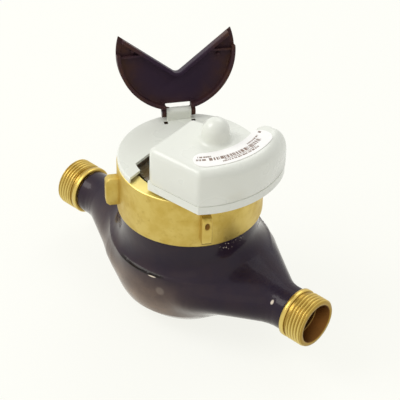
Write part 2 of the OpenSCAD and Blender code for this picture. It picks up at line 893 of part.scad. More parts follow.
// Rib behind one tip of the lid, from the notch's wall to the skirt
module tip_rib(side) {
    out = lid_r - lid_wall / 2;
    length = out - notch_back - lid_wall - notch_round;
    translate([0, lid_shift, lid_bottom + lid_skirt - tip_rib_height])
        rotate([0, 0, side * tip_rib_angle])
            translate([-tip_rib_thickness / 2, -out, 0])
                cube([tip_rib_thickness, length, tip_rib_height + eps]);
}

module closed_lid() {
    lug_clear_r = norm([hinge_lug_r, hinge_rise]) + 0.4;
    rim = 0.8;
    inner_top = lid_bottom + lid_skirt;
    difference() {
        union() {
            difference() {
                translate([0, lid_shift, 0]) difference() {
                    rotate_extrude()
                        polygon([
                            [0, lid_bottom], [lid_r, lid_bottom], [lid_r, lid_top - rim],
                            [lid_r - rim, lid_top], [0, lid_top]
                        ]);
                    difference() {
                        translate([0, 0, lid_bottom - 1])
                            cylinder(r = lid_r - lid_wall, h = lid_skirt + 1);
                        translate([0, 0, lid_bottom - 1]) notch(lid_wall, lid_skirt + 1);
                    }
                    translate([0, 0, lid_bottom - 1]) notch(0, lid_top - lid_bottom + 2);
                    for (side = [-1, 1])
                        rotate([0, 0, side * tip_gap_angle])
                            translate([-tip_gap / 2, -lid_r - 1, lid_bottom - 1])
                                cube([tip_gap, lid_wall + 1.7, lid_skirt + 1]);
                }
                translate([-ear_inside, hinge_back, hinge_z])
                    rotate([0, 90, 0]) cylinder(r = lug_clear_r, h = 2 * ear_inside);
            }
            for (side = [-1, 1]) {
                lid_ear(side);
                tip_rib(side);
            }
        }
        translate([-2 * ear_inside, hinge_back, hinge_z])
            rotate([0, 90, 0]) cylinder(r = hinge_pin_r + running_clearance, h = 4 * ear_inside);
    }
}

module lid() {
    color(lid_colour) in_register()
        translate([0, hinge_back, hinge_z])
            rotate([-lid_open, 0, 0])
                translate([0, -hinge_back, -hinge_z]) closed_lid();
}

// Module: outline seen from above, drawn inwards by an inset
function module_outline(inset) =
    let (out_r = module_r - inset,
         left_n = front_dir(-flank_angle - 90),
         right_n = front_dir(flank_angle + 90),
         near = corner_r * front_dir(-flank_angle),
         front = module_r * front_dir(front_corner_angle),
         wall_n = [near.y - front.y, front.x - near.x] / -norm(front - near),
         wall_d = wall_n * near - inset,
         near_in = meet(left_n, -inset, wall_n, wall_d),
         front_in = line_on_circle(wall_n, wall_d, out_r, 1),
         front_at = atan2(front_in.x, -front_in.y),
         nose_centre = [0, -nose_r / sin(flank_angle)],
         clear = shoulder_clear_r + inset,
         shoulder_start = line_on_circle(right_n, -inset, clear, -1),
         start_at = atan2(shoulder_start.x, -shoulder_start.y),
         arc = front_arc([0, 0], out_r, front_at, end_angle, 20),
         cap = front_arc(end_at, end_r - inset, end_angle, end_angle + 180, 12),
         shoulder = front_arc([0, 0], clear, end_angle, start_at, 5),
         front_edge = round_corner(near_in, front_in, arc[2], 1.5))
    concat(front_arc(nose_centre, nose_r - inset, flank_angle + 90, 270 - flank_angle, 8),
           round_corner([0, 0], near_in, front_in, 2),
           front_edge,
           [for (i = [2 : 19]) arc[i]],
           [for (i = [1 : 11]) cap[i]],
           [for (i = [1 : 5]) shoulder[i]]);

module module_prism(inset, from, to) {
    translate([0, 0, from]) linear_extrude(to - from) polygon(module_outline(inset));
}

// Post whose top edge rounds over
module rounded_post(at, radius) {
    out = radius + 0.05;
    translate([at.x, at.y, 0])
        rotate_extrude()
            polygon(concat([[0, base_bottom - 1], [out, base_bottom - 1]],
                           arc_points([out - module_fillet, module_top - module_fillet],
                                      module_fillet, 0, 90, 8),
                           [[0, module_top]]));
}

// One stretch of the module's block, seen with its far end along +X: from the nose to the upright
// plane through the far end, or beyond it
module block_stretch(post_at, post_r, side) {
    reach = 2 * module_r;
    intersection() {
        rotate([0, 0, 90 - end_angle]) module_prism(0, seam_z, module_top);
        rounded_post(post_at, post_r);
        translate([-reach, side < 0 ? -reach : 0, base_bottom - 2])
            cube([2 * reach, reach, module_height + 4]);
    }
}

module dome(inset) {
    r = dome_r - inset;
    foot_z = module_top - module_fillet;
    centre_z = module_top + dome_height - dome_r;
    translate([dome_at.x, dome_at.y, 0]) {
        translate([0, 0, foot_z]) cylinder(r = r, h = centre_z - foot_z);
        translate([0, 0, centre_z]) sphere(r = r);
    }
}

module module_base() {
    color(grey_colour) in_register() {
        difference() {
            union() {
                module_prism(0, base_bottom, seam_z - seam_groove);
                module_prism(seam_groove, seam_z - seam_groove - eps, seam_z);
            }
            module_prism(module_wall, base_bottom + module_wall, seam_z + 1);
        }
        intersection() {
            module_prism(foot_inset, ring_top, base_bottom + eps);
            ring_solid(can_r - 1, foot_in_r, ring_top - 1, base_bottom + 1);
        }
    }
}

module module_housing() {
    upper_inset = min(module_wall + 2, nose_r - 0.3);
    color(grey_colour) in_register() difference() {
        union() {
            rotate([0, 0, end_angle - 90]) {
                block_stretch([0, 0], module_r, -1);
                block_stretch([norm(end_at), 0], end_r, 1);
            }
            dome(0);
        }
        module_prism(module_wall, seam_z - 1, module_top - module_fillet);
        module_prism(upper_inset, module_top - module_fillet - 1, module_top - module_wall);
        intersection() {
            dome(module_wall);
            translate([dome_at.x, dome_at.y, module_top - module_wall - 1])
                cylinder(r = dome_r, h = dome_height + module_wall);
        }
    }
}

// Electronics, standing on the module's base
module module_board() {
    wall_gap = 1.2;
    inner_r = pulse_out + coil_r + wall_gap;
    color("darkgreen") in_register()
        intersection() {
            module_prism(module_wall + wall_gap, board_z, board_z + board_thickness);
            ring_solid(module_r, inner_r, board_z - 1, board_z + board_thickness + 1);
        }
}

module module_battery() {
    angle = 22;
    at = (label_in_r + label_out_r) / 2 * front_dir(angle);
    color("seagreen") in_register()
        translate([at.x, at.y, board_z + board_thickness + battery_r])
            rotate([0, 90, angle])
                translate([0, 0, -battery_length / 2]) cylinder(r = battery_r, h = battery_length);
}

module sensor_coil() {
    coil_height = 8;
    color("peru") in_register()
        translate([pulse_at.x, pulse_at.y, board_z])
            difference() {
                cylinder(r = coil_r, h = coil_height);
                translate([0, 0, -1]) cylinder(r = coil_r / 3, h = coil_height + 2);
            }
}

// Label: a curved field with round ends on the module's top
module module_label() {
    mid = (label_in_r + label_out_r) / 2;
    half = (label_out_r - label_in_r) / 2;
    from = -2;
    to = 52;
    color("white") in_register()
        translate([0, 0, module_top])
            linear_extrude(label_thickness)
                polygon(concat(front_arc([0, 0], label_out_r, from, to, 24),
                               front_arc(mid * front_dir(to), half, to, to + 180, 10),
                               front_arc([0, 0], label_in_r, to, from, 24),
                               front_arc(mid * front_dir(from), half, from + 180, from + 360, 10)));
}

meter_body();
inlet_strainer();
chamber_basket();
pivot_pin();
impeller();
impeller_magnet();
chamber_cover();
head_gasket();
pressure_plate();
slip_ring();
head_ring();
register_can();
shield_ring();
drive_spindle();
follower_magnet();
gear_plate();
reduction_wheel();
pulse_wheel();
roller_shaft();
roller(1);  // roller_1
roller(2);  // roller_2
roller(3);  // roller_3
roller(4);  // roller_4
roller(5);  // roller_5
dial_plate();
register_glass();
register_cover();
hinge_pin();
lid();
module_base();
module_housing();
module_board();
module_battery();
sensor_coil();
module_label();
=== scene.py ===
"""Looks of the water meter: meshes, finishes, studio and camera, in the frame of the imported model."""
import math

import bmesh
import bpy
import numpy as np
from mathutils import Matrix, Vector


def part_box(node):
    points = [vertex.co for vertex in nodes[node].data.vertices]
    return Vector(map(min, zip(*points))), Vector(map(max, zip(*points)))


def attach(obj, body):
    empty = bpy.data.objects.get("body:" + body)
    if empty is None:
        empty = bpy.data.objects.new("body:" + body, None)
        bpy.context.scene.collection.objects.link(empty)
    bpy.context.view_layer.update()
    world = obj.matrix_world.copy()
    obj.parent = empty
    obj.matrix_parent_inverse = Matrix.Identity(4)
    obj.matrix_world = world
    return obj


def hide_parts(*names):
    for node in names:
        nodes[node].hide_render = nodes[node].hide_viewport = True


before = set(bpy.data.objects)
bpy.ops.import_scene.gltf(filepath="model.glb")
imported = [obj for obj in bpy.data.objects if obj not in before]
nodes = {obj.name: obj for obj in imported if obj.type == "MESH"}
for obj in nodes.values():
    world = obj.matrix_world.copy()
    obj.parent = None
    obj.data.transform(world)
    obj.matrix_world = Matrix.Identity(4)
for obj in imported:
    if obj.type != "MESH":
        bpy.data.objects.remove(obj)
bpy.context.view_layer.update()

# Cast body: bowl and two flared pipes in one brass casting, dipped in a dark glossy coating.
# The pipes run into the bowl in soft fillets, and the mould's parting line leaves a crease.
# Sizes here and below are in millimetres; mesh_object() turns them into the frame's metres.
mm = 0.001
half_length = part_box("meter_body")[1].x / mm
body_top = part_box("meter_body")[1].z / mm
ring_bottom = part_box("head_ring")[0].z / mm
ring_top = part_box("head_ring")[1].z / mm
axis_height = 37.0
bowl_r = 51.0
foot_r = 22.0
crease_height = 50.5
crease_step = 0.9
crease_from = -112
crease_to = -64
crease_fade = 12
crease_shade_fade = 8
shoulder_r = 45.6
shoulder_height = ring_bottom - 10
head_thread_r = 43.0
head_clearance = 0.6
coating_end = half_length - 17.5
neck_start = coating_end - 12
neck_r = 14.8
web_root_half_width = 41.0
web_out = 34.0
web_half_width = 44.5
web_half_height = 21.0
web_root_half_height = 0.75 * web_half_height
inlet_web_trim = -1.6
outlet_web_trim = 1.2
bowl_fillet = 9.0
neck_blend = 4.0
voxel = 1.0
sliver = 0.004
rough_steps = 64
bore_r = 13.0
bore_start = half_length - 20
seat_r = 12.0
seat_depth = 2.0
passage_r = 8.0
passage_end = 58.0
liner = 0.8
pipe_steps = 160
no_zero = 1e-9


def bowl_distance(p):
    """Distance of points from the bowl, a shape turned about the register axis."""
    r = np.hypot(p[:, 0], p[:, 1])
    z = p[:, 2]
    across = np.maximum(r - foot_r, 0) / (bowl_r - foot_r)
    down = (axis_height - z) / axis_height
    belly = np.sqrt(across**2 + down**2) + no_zero
    slope = np.hypot(across / (bowl_r - foot_r), down / axis_height) / belly
    lower = (belly - 1) / slope
    around = np.degrees(np.arctan2(p[:, 1], p[:, 0]))
    fade = np.clip(np.minimum(around - crease_from, crease_to - around) / crease_fade, 0, 1)
    upper_r = bowl_r - crease_step * fade
    turn = np.clip((shoulder_height - z) / (shoulder_height - crease_height), 0, 1)
    above = upper_r - (upper_r - shoulder_r) * np.sqrt(1 - turn**2)
    above = np.where(z > ring_bottom - head_clearance, head_thread_r, above)
    upper = r - np.where(z < crease_height, bowl_r, above)
    return np.maximum(np.where(z < axis_height, lower, upper), z - body_top)


def pipe_distance(p):
    """Distance of points from the two pipes: oval flares from the bowl that end in round necks."""
    out = np.abs(p[:, 0])
    at = [0, web_out, neck_start, coating_end]
    widths = [web_root_half_width, web_half_width, neck_r, neck_r]
    heights = [web_root_half_height, web_half_height, neck_r, neck_r]
    shifts = (-neck_blend, 0, neck_blend)
    wide = sum(np.interp(out + shift, at, widths) for shift in shifts) / len(shifts)
    high = sum(np.interp(out + shift, at, heights) for shift in shifts) / len(shifts)
    trim = np.where(p[:, 0] < 0, inlet_web_trim, outlet_web_trim)
    trim = trim * np.interp(out, [0, web_out, neck_start], [0, 1, 0])
    wide = wide + trim
    y = p[:, 1] - np.abs(trim)
    z = p[:, 2] - axis_height
    oval = np.sqrt((y / wide)**2 + (z / high)**2) + no_zero
    slope = np.sqrt((y / wide**2)**2 + (z / high**2)**2) / oval
    return np.maximum((oval - 1) / slope, out - coating_end)


def smooth_join(a, b, fillet):
    """Distance from two shapes joined with a soft fillet."""
    share = np.clip(0.5 + 0.5 * (b - a) / fillet, 0, 1)
    return b + (a - b) * share - fillet * share * (1 - share)


def body_distance(p):
    """Distance of points from the whole casting."""
    return smooth_join(bowl_distance(p), pipe_distance(p), bowl_fillet)


def loft(loops, closed=True):
    """Faces between rings of as many points each, with both ends filled where closed."""
    count = len(loops[0])
    points = np.concatenate([np.asarray(loop, float) for loop in loops])
    faces = []
    for ring in range(len(loops) - 1):
        first = ring * count
        for i in range(count):
            j = (i + 1) % count
            faces.append((first + i, first + j, first + count + j, first + count + i))
    if closed:
        faces.append(tuple(reversed(range(count))))
        faces.append(tuple(range(len(points) - count, len(points))))
    return points, faces


def join(*parts):
    """One list of points and faces from several."""
    points = []
    faces = []
    start = 0
    for part_points, part_faces in parts:
        points.append(np.asarray(part_points, float))
        faces += [tuple(start + i for i in face) for face in part_faces]
        start += len(part_points)
    return np.concatenate(points), faces


def circle(radius, steps=96):
    """Points of a circle in the plane, as two columns."""
    turn = np.linspace(0, 2 * math.pi, steps, endpoint=False)
    return radius * np.column_stack([np.cos(turn), np.sin(turn)])


def revolve(profile, at=(0, 0), steps=128):
    """Solid turned about an upright axis from points of radius and height."""
    loops = []
    for radius, height in profile:
        ring = circle(max(radius, 1e-3), steps) + np.array(at)
        loops.append(np.column_stack([ring, np.full(steps, height)]))
    return loft(loops)


def mirrored(points, faces):
    """The same shape on the other pipe."""
    return points * np.array([-1, 1, 1]), [tuple(reversed(face)) for face in faces]


def along_pipe(profile, side, closed=True):
    """Shape turned about one pipe's axis from pairs of distance out and radius."""
    turn = np.linspace(0, 2 * math.pi, pipe_steps, endpoint=False)
    rings = [np.column_stack([np.full(pipe_steps, out), r * np.cos(turn), r * np.sin(turn) + axis_height])
             for out, r in profile]
    points, faces = loft(rings, closed)
    return (points, faces) if side > 0 else mirrored(points, faces)


def mesh_object(name, points, faces):
    """A Blender object from points in millimetres."""
    mesh = bpy.data.meshes.new(name)
    mesh.from_pydata((np.asarray(points) * mm).tolist(), [], faces)
    obj = bpy.data.objects.new(name, mesh)
    bpy.context.scene.collection.objects.link(obj)
    return obj


def settle(obj):
    """Works the object's modifiers into its mesh and closes the slivers that cuts leave."""
    bpy.context.view_layer.update()
    made = bpy.data.meshes.new_from_object(obj.evaluated_get(bpy.context.evaluated_depsgraph_get()))
    work = bmesh.new()
    work.from_mesh(made)
    bmesh.ops.remove_doubles(work, verts=work.verts, dist=sliver * mm)
    bmesh.ops.dissolve_degenerate(work, edges=work.edges, dist=sliver * mm)
    bmesh.ops.dissolve_verts(work, verts=[v for v in work.verts if len(v.link_edges) == 2])
    work.to_mesh(made)
    work.free()
    obj.modifiers.clear()
    obj.data = made
    return obj


def combine(obj, tools, operation):
    """Cuts tools out of a piece or joins them onto it, and takes the tools away."""
    for tool in tools:
        step = obj.modifiers.new("step", "BOOLEAN")
        step.operation = operation
        step.object = tool
    settle(obj)
    for tool in tools:
        bpy.data.objects.remove(tool)
    return obj


def skin_of(obj):
    """Points and faces of a piece, which is then taken away."""
    points = np.array([v.co for v in obj.data.vertices]) / mm
    faces = [tuple(face.vertices) for face in obj.data.polygons]
    bpy.data.objects.remove(obj)
    return points, faces


def dress(obj, body, material, replaces=(), sharp=38):
    """Shades a piece, gives it its finish and hangs it on its body in place of CAD nodes."""
    for face in obj.data.polygons:
        face.use_smooth = True
    obj.data.set_sharp_from_angle(angle=math.radians(sharp))
    obj.data.materials.clear()
    obj.data.materials.append(material)
    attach(obj, body)
    if replaces:
        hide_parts(*replaces)
    return obj


class Shade:
    """One socket of a material's nodes, for use in plain sums."""

    def __init__(self, tree, socket):
        self.tree = tree
        self.socket = socket

    def node(self, kind, settings=(), inputs=(), output=0):
        """Adds a node, sets it up, feeds its inputs and returns one of its outputs."""
        made = self.tree.nodes.new("ShaderNode" + kind)
        for name, value in dict(settings).items():
            setattr(made, name, value)
        for name, value in dict(inputs).items():
            socket = made.inputs[name]
            if isinstance(value, Shade):
                self.tree.links.new(value.socket, socket)
            else:
                socket.default_value = value
        return Shade(self.tree, made.outputs[output])

    def math(self, operation, *values):
        return self.node("Math", {"operation": operation}, enumerate(values))

    def __add__(self, other):
        return self.math("ADD", self, other)

    def __radd__(self, other):
        return self.math("ADD", other, self)

    def __sub__(self, other):
        return self.math("SUBTRACT", self, other)

    def __rsub__(self, other):
        return self.math("SUBTRACT", other, self)

    def __mul__(self, other):
        return self.math("MULTIPLY", self, other)

    def __rmul__(self, other):
        return self.math("MULTIPLY", other, self)

    def __truediv__(self, other):
        return self.math("DIVIDE", self, other)

    def __rtruediv__(self, other):
        return self.math("DIVIDE", other, self)

    def root(self):
        return self.math("SQRT", self)

    def size(self):
        """The value without its sign."""
        return self.math("ABSOLUTE", self)

    def fraction(self):
        """What is left of the value above a whole number."""
        return self.math("FRACT", self)

    def capped(self):
        """The value, held at 1."""
        return self.math("MINIMUM", self, 1.0)

    def between(self, low, high):
        """0 below low, 1 above high and a soft step between."""
        settings = {"interpolation_type": "SMOOTHSTEP"}
        return self.node("MapRange", settings, {"Value": self, "From Min": low, "From Max": high})

    def mix(self, first, second):
        """Colour that goes from first to second as this value goes from 0 to 1."""
        return self.node("Mix", {"data_type": "RGBA"}, {0: self, 6: first, 7: second}, output=2)

    def grain(self, size, detail=3.0):
        """Cloudy noise on this place, with lumps of about that size in metres."""
        return self.node("TexNoise", {}, {"Vector": self, "Scale": 1 / size, "Detail": detail})

    def bump(self, depth, strength=1.0):
        """Surface normal from this height, which is depth metres at 1."""
        return self.node("Bump", {}, {"Strength": strength, "Distance": depth, "Height": self})

    def patch(self, middle, reach):
        """1 in the middle of an oval patch of the surface, given in millimetres, and 0 outside."""
        middle = [v * mm for v in middle]
        reach = [v * mm for v in reach]
        away = self.node("VectorMath", {"operation": "SUBTRACT"}, {0: self, 1: middle})
        share = self.node("VectorMath", {"operation": "DIVIDE"}, {0: away, 1: reach})
        return 1 - self.node("VectorMath", {"operation": "LENGTH"}, {0: share}, output=1).between(0.5, 1.0)

    def axes(self):
        """The three coordinates of this place."""
        parts = self.node("SeparateXYZ", {}, {0: self})
        outputs = parts.socket.node.outputs
        return [Shade(self.tree, outputs[i]) for i in range(3)]


def paint(red, green, blue):
    """Linear colour from screen values of 0 to 255."""
    linear = []
    for value in (red, green, blue):
        share = value / 255
        linear.append(share / 12.92 if share <= 0.04045 else ((share + 0.055) / 1.055)**2.4)
    return (*linear, 1.0)


def finish(name, recipe, constants=()):
    """A material: the recipe gives what varies over the surface, the constants the rest."""
    material = bpy.data.materials.new(name)
    material.use_nodes = True
    tree = material.node_tree
    shader = tree.nodes["Principled BSDF"]
    for socket, value in dict(constants).items():
        shader.inputs[socket].default_value = value
    place = Shade(tree, tree.nodes.new("ShaderNodeTexCoord").outputs["Object"])
    for socket, value in recipe(place).items():
        tree.links.new(value.socket, shader.inputs[socket])
    return material


def coating_recipe(place):
    """Dip coating: dark aubergine with orange peel, sandy on one flare and chipped on top, with a painted
    reflection low down, painted shade along the crease and painted highlights.
    """
    x, y, z = place.axes()
    cloud = place.grain(0.018).between(0.35, 0.7)
    sandy = x.between(0.035, 0.055) * y.between(-0.014, 0.002) * z.between(0.042, 0.050)
    # Painted reflection: a lighter warm brown low down on the inlet side of the bowl and flare, where the
    # floor would be reflected; the coat is also rougher there.
    low = (1 - z.between(0.016, 0.058)) * x.between(-0.085, -0.040) * (1 - x.between(0.0, 0.055))
    painted_reflection = low * (0.6 + 0.35 * place.grain(0.012).between(0.3, 0.7))
    by_ring = place.patch((44.5, -8, 70.5), (8, 13, 4))
    chips = place.grain(0.0012, 2.0).between(0.64, 0.68) * by_ring
    peel = place.grain(0.0045, 2.0)
    sand = place.grain(0.0008, 4.0)
    height = peel * 0.35 + sand * (0.12 + 0.9 * sandy)
    clean = cloud.mix(paint(27, 17, 40), paint(38, 26, 41))
    # Painted shade: a near-black line along the crease on the front of the bowl, fading out at both ends.
    around = x.math("ARCTAN2", y, x) * (180 / math.pi)
    by_crease = (z - crease_height * mm) / (crease_step * mm)
    shade_start = around.between(crease_from, crease_from + crease_shade_fade)
    shade_stop = around.between(crease_to - crease_shade_fade, crease_to)
    crease_shade = (1 - (by_crease * by_crease).between(0.4, 1.0)) * shade_start * (1 - shade_stop)
    crease_shaded = crease_shade.mix(painted_reflection.mix(clean, paint(146, 127, 110)), paint(12, 8, 16))
    # Painted highlights: a pale dash below the crease, a faint pale blotch on the belly and a pale dash on
    # the outlet neck. They share their pale colour with the real chips by the ring.
    crease_highlight = place.patch((12.9, -48.8, 49.6), (3.6, 2.5, 0.7))
    belly_highlight = 0.10 * place.patch((19.3, -48.9, 39.9), (4, 4, 4))
    neck_highlight = place.patch((82.7, -12.1, 46.5), (1.2, 2.0, 2.2))
    painted_highlights = crease_highlight + belly_highlight + neck_highlight
    return {
        "Base Color": (chips + painted_highlights).capped().mix(crease_shaded, paint(232, 224, 210)),
        "Roughness": 0.34 + 0.10 * cloud + 0.16 * sandy + 0.12 * painted_reflection,
        "Coat Weight": 1 - 0.8 * sandy,
        "Normal": height.bump(0.0004, 0.55),
    }


coating = finish("dark_coating", coating_recipe, {
    "Specular IOR Level": 0.18, "Specular Tint": paint(255, 242, 232),
    "Coat IOR": 1.22, "Coat Roughness": 0.1, "Coat Tint": paint(255, 250, 244)})

# A rough bowl and rough pipes, close enough for one skin to be drawn over them
bowl_rough = revolve([(0, 0), (foot_r, 0), (bowl_r - 4, axis_height - 12), (bowl_r, axis_height),
                      (bowl_r, crease_height), (shoulder_r, shoulder_height), (shoulder_r, ring_bottom),
                      (head_thread_r, ring_bottom), (head_thread_r, body_top), (0, body_top)],
                     steps=rough_steps)
pipe_loops = []
for out, wide, high in ((coating_end, neck_r, neck_r), (neck_start, neck_r, neck_r),
                        (web_out, web_half_width, web_half_height),
                        (0, web_root_half_width, web_root_half_height)):
    y, z = circle(1, rough_steps).T
    pipe_loops.append(np.column_stack([np.full(rough_steps, out), y * wide, z * high + axis_height]))
pipe_rough = loft(pipe_loops)
body = mesh_object("body_casting", *join(bowl_rough, pipe_rough, mirrored(*pipe_rough)))
remesh = body.modifiers.new("one_skin", "REMESH")
remesh.mode = "VOXEL"
remesh.voxel_size = voxel * mm
settle(body)

# The remeshed skin is drawn onto the true shape, a few steps along its slope
skin = np.array([v.co for v in body.data.vertices]) / mm
nudge = 0.05
least_slope = 0.2
for step in range(6):
    gap = body_distance(skin)
    slope = np.column_stack([
        (body_distance(skin + nudge * axis) - body_distance(skin - nudge * axis)) / (2 * nudge)
        for axis in np.eye(3)])
    steepness = np.maximum((slope**2).sum(1), least_slope)
    skin -= slope * np.clip(gap / steepness, -voxel, voxel)[:, None]
body.data.vertices.foreach_set("co", (skin * mm).ravel())

# Both pipes are bored out, a little wider than the brass that lines the bores
step_out = bore_start - seat_depth - liner
drill_end = coating_end + 2
point_r = 0.01
bore_profile = [(passage_end, point_r), (passage_end, passage_r + liner), (step_out, passage_r + liner),
                (step_out, bore_r + liner), (drill_end, bore_r + liner), (drill_end, point_r)]
drills = [mesh_object("drill", *along_pipe(bore_profile, side)) for side in (-1, 1)]
combine(body, drills, "DIFFERENCE")
dress(body, "body", coating, ["meter_body"], sharp=60)

# Threaded ends: the casting's bare brass spigots, cut on a lathe, with collar, relief groove,
# pipe thread and a wide bore that steps down to the water passage.
thread_r = 16.625
thread_pitch = 2.309
thread_depth = 0.95
collar_length = 3.2
groove_width = 2.0
groove_depth = 1.0
mouth_chamfer = 1.2
mouth_break = 0.5
edge_break = 0.3
lip_depth = 10.5
slack = 0.05
rings_per_turn = 12


def spigot(side):
    """One threaded end about the pipe axis: rings of points from the coating out and back inside."""
    collar_end = coating_end + collar_length
    thread_start = collar_end + groove_width
    step_in = step_out + slack
    passage_liner_r = passage_r + liner - slack
    bore_liner_r = bore_r + liner - slack
    groove_r = thread_r - groove_depth
    seat_end = bore_start - seat_depth
    outside = [(passage_end, passage_liner_r), (step_in, passage_liner_r), (step_in, bore_liner_r),
               (coating_end - 1, bore_liner_r), (coating_end - slack, neck_r - edge_break),
               (coating_end, thread_r - edge_break), (coating_end + edge_break, thread_r),
               (collar_end - edge_break, thread_r), (collar_end, thread_r - edge_break),
               (collar_end + 2 * slack, groove_r), (thread_start - 2 * slack, groove_r)]
    inside = [(half_length, bore_r + mouth_break), (half_length - mouth_break, bore_r),
              (bore_start + slack, bore_r), (bore_start, bore_r - slack),
              (bore_start, seat_r + slack), (bore_start - slack, seat_r), (seat_end, seat_r),
              (seat_end, passage_r + 0.4), (seat_end - 0.4, passage_r), (passage_end, passage_r)]
    thread = []
    turn = np.linspace(0, 2 * math.pi, pipe_steps, endpoint=False)
    for x in np.arange(thread_start, half_length + 0.01, thread_pitch / rings_per_turn):
        wave = 0.5 - 0.5 * np.cos(2 * math.pi * x / thread_pitch - turn)
        limit = min(thread_r, groove_r + 2 * (x - thread_start), thread_r - mouth_chamfer + half_length - x)
        thread.append((x, np.minimum(limit, thread_r - thread_depth * wave**1.3)))
    profile = outside + thread + inside
    return along_pipe(profile + profile[:1], side, closed=False)


def turned_brass_recipe(place):
    """Lathe-turned brass: bright crests and tarnish in the roots, with painted shade on the upper side and
    deeper in the bore, and a painted highlight on a ring half way in.
    """
    x, y, z = place.axes()
    across = z - axis_height * mm
    r = (y * y + across * across).root()
    crest = r.between((thread_r - thread_depth) * mm, (thread_r - 0.2) * mm)
    inner = 1 - r.between((bore_r + 0.1) * mm, (bore_r + 0.7) * mm)
    depth = half_length * mm - x.size()
    deep_shade = depth.between((lip_depth - 0.3) * mm, (lip_depth + 0.1) * mm)
    lip_highlight = deep_shade * (1 - depth.between((lip_depth + 0.4) * mm, (lip_depth + 0.8) * mm))
    cloud = place.grain(0.006)
    # Painted shade: the upper side of each threaded end is a darker, duller brass.
    upper = across.between(-0.003, 0.013) * (0.6 + 0.4 * cloud)
    lines = place.node("TexNoise", {}, {
        "Vector": place.node("VectorMath", {"operation": "MULTIPLY"}, {0: place, 1: (1, 0.02, 0.02)}),
        "Scale": 6000.0, "Detail": 2.0})
    bright = cloud.mix(paint(232, 210, 130), paint(218, 192, 108))
    top_shaded = upper.mix(bright, paint(200, 170, 86))
    worn = crest.mix(paint(166, 136, 64), top_shaded)
    # Painted shade: the bore darkens from the mouth inwards and is darkest past the ring; painted highlight:
    # a pale ring half way in.
    bore_shade = depth.between(0.0, lip_depth * mm).mix(paint(116, 78, 38), paint(96, 60, 26))
    bore = (0.6 * lip_highlight).mix(deep_shade.mix(bore_shade, paint(62, 38, 14)), paint(208, 170, 96))
    return {
        "Base Color": inner.mix(worn, bore),
        "Roughness": 0.26 + 0.10 * cloud + 0.10 * inner + 0.06 * lines,
        "Normal": lines.bump(0.00005, 0.5),
    }


turned_brass = finish("turned_brass", turned_brass_recipe, {"Metallic": 1.0})
for name, side in (("inlet_end", -1), ("outlet_end", 1)):
    dress(mesh_object(name, *spigot(side)), "body", turned_brass, sharp=50)

# Wet side: moulded sieve, chamber and impeller of ivory plastic, steel pin, magnet and rubber seal.
# The casting hides them all; only the sieve shows, through the inlet.


def cover_node(name, material):
    """Gives a CAD node its finish."""
    mesh = nodes[name].data
    mesh.materials.clear()
    mesh.materials.append(material)


def ivory_recipe(place):
    cloud = place.grain(0.004)
    return {
        "Base Color": cloud.mix(paint(232, 226, 204), paint(218, 210, 184)),
        "Roughness": 0.42 + 0.12 * cloud,
        "Normal": place.grain(0.0006).bump(0.00004, 0.4),
    }


def steel_recipe(place):
    lines = place.grain(0.0007, 4.0)
    return {
        "Base Color": lines.mix(paint(176, 178, 182), paint(204, 206, 208)),
        "Roughness": 0.24 + 0.16 * lines,
        "Normal": lines.bump(0.00003, 0.4),
    }


def magnet_recipe(place):
    cloud = place.grain(0.0012, 5.0)
    return {
        "Base Color": cloud.mix(paint(58, 58, 60), paint(84, 84, 88)),
        "Roughness": 0.55 + 0.2 * cloud,
        "Normal": cloud.bump(0.00008, 0.5),
    }


def rubber_recipe(place):
    cloud = place.grain(0.0009, 4.0)
    return {
        "Base Color": cloud.mix(paint(26, 26, 27), paint(42, 42, 43)),
        "Roughness": 0.7 + 0.2 * cloud,
        "Normal": cloud.bump(0.00006, 0.5),
    }


ivory = finish("ivory_plastic", ivory_recipe)
steel = finish("ground_steel", steel_recipe, {"Metallic": 1.0})
magnet = finish("sintered_magnet", magnet_recipe, {"Metallic": 0.4})
rubber = finish("seal_rubber", rubber_recipe)
for name in ("inlet_strainer", "chamber_basket", "chamber_cover", "impeller", "pressure_plate", "slip_ring"):
    cover_node(name, ivory)
for name in ("pivot_pin", "drive_spindle", "shield_ring", "roller_shaft", "pulse_wheel", "hinge_pin"):
    cover_node(name, steel)
for name in ("impeller_magnet", "follower_magnet"):
    cover_node(name, magnet)
cover_node("head_gasket", rubber)

# Head ring: a brass casting that screws onto the bowl and clamps the register.
# Its faces are left as cast, with four lugs for a hook wrench, each with a shallow oval dimple.
ring_r = 47.5
ring_opening_r = 37.4
ring_edge = 1.0
lug_width = 6.6
lug_reach = 7.9
lug_height = 20.4
lug_foot = ring_bottom + 6.5
lug_chamfer = 2.2
lug_rounding = 0.7
lug_turn = 54
lug_count = 4
dimple_height = lug_foot + 0.74 * lug_height
dimple_reach = (1.3, 1.8, 3.2)
ring_seat = body_top + 7.5
ring_steps = 192


def arc(centre, radius, start, stop, steps):
    """Points along an arc, by angles in degrees."""
    turn = np.radians(np.linspace(start, stop, steps + 1))
    return [(centre[0] + radius * math.cos(a), centre[1] + radius * math.sin(a)) for a in turn]


def lug_block():
    """One lug, drawn along +X: a chamfered block with rounded edges and a dimple in its face."""
    inner = ring_r - 2.5
    outer = ring_r + lug_reach
    top = lug_foot + lug_height
    side = [(inner, lug_foot), (outer - lug_chamfer, lug_foot), (outer, lug_foot + lug_chamfer),
            (outer, top - lug_chamfer), (outer - lug_chamfer, top), (inner, top)]
    loops = [[(x, y, z) for x, z in side] for y in (lug_width / 2, -lug_width / 2)]
    block = mesh_object("lug_block", *loft(loops))
    edges = block.modifiers.new("round_edges", "BEVEL")
    edges.width = lug_rounding * mm
    edges.segments = 3
    ball_points, ball_faces = revolve([(math.cos(a), math.sin(a)) for a in np.linspace(-1.57, 1.57, 13)],
                                      steps=32)
    dimple_points = ball_points * np.array(dimple_reach) + np.array([outer + 0.3, 0, dimple_height])
    dimple = mesh_object("dimple_tool", dimple_points, ball_faces)
    return skin_of(combine(block, [dimple], "DIFFERENCE"))


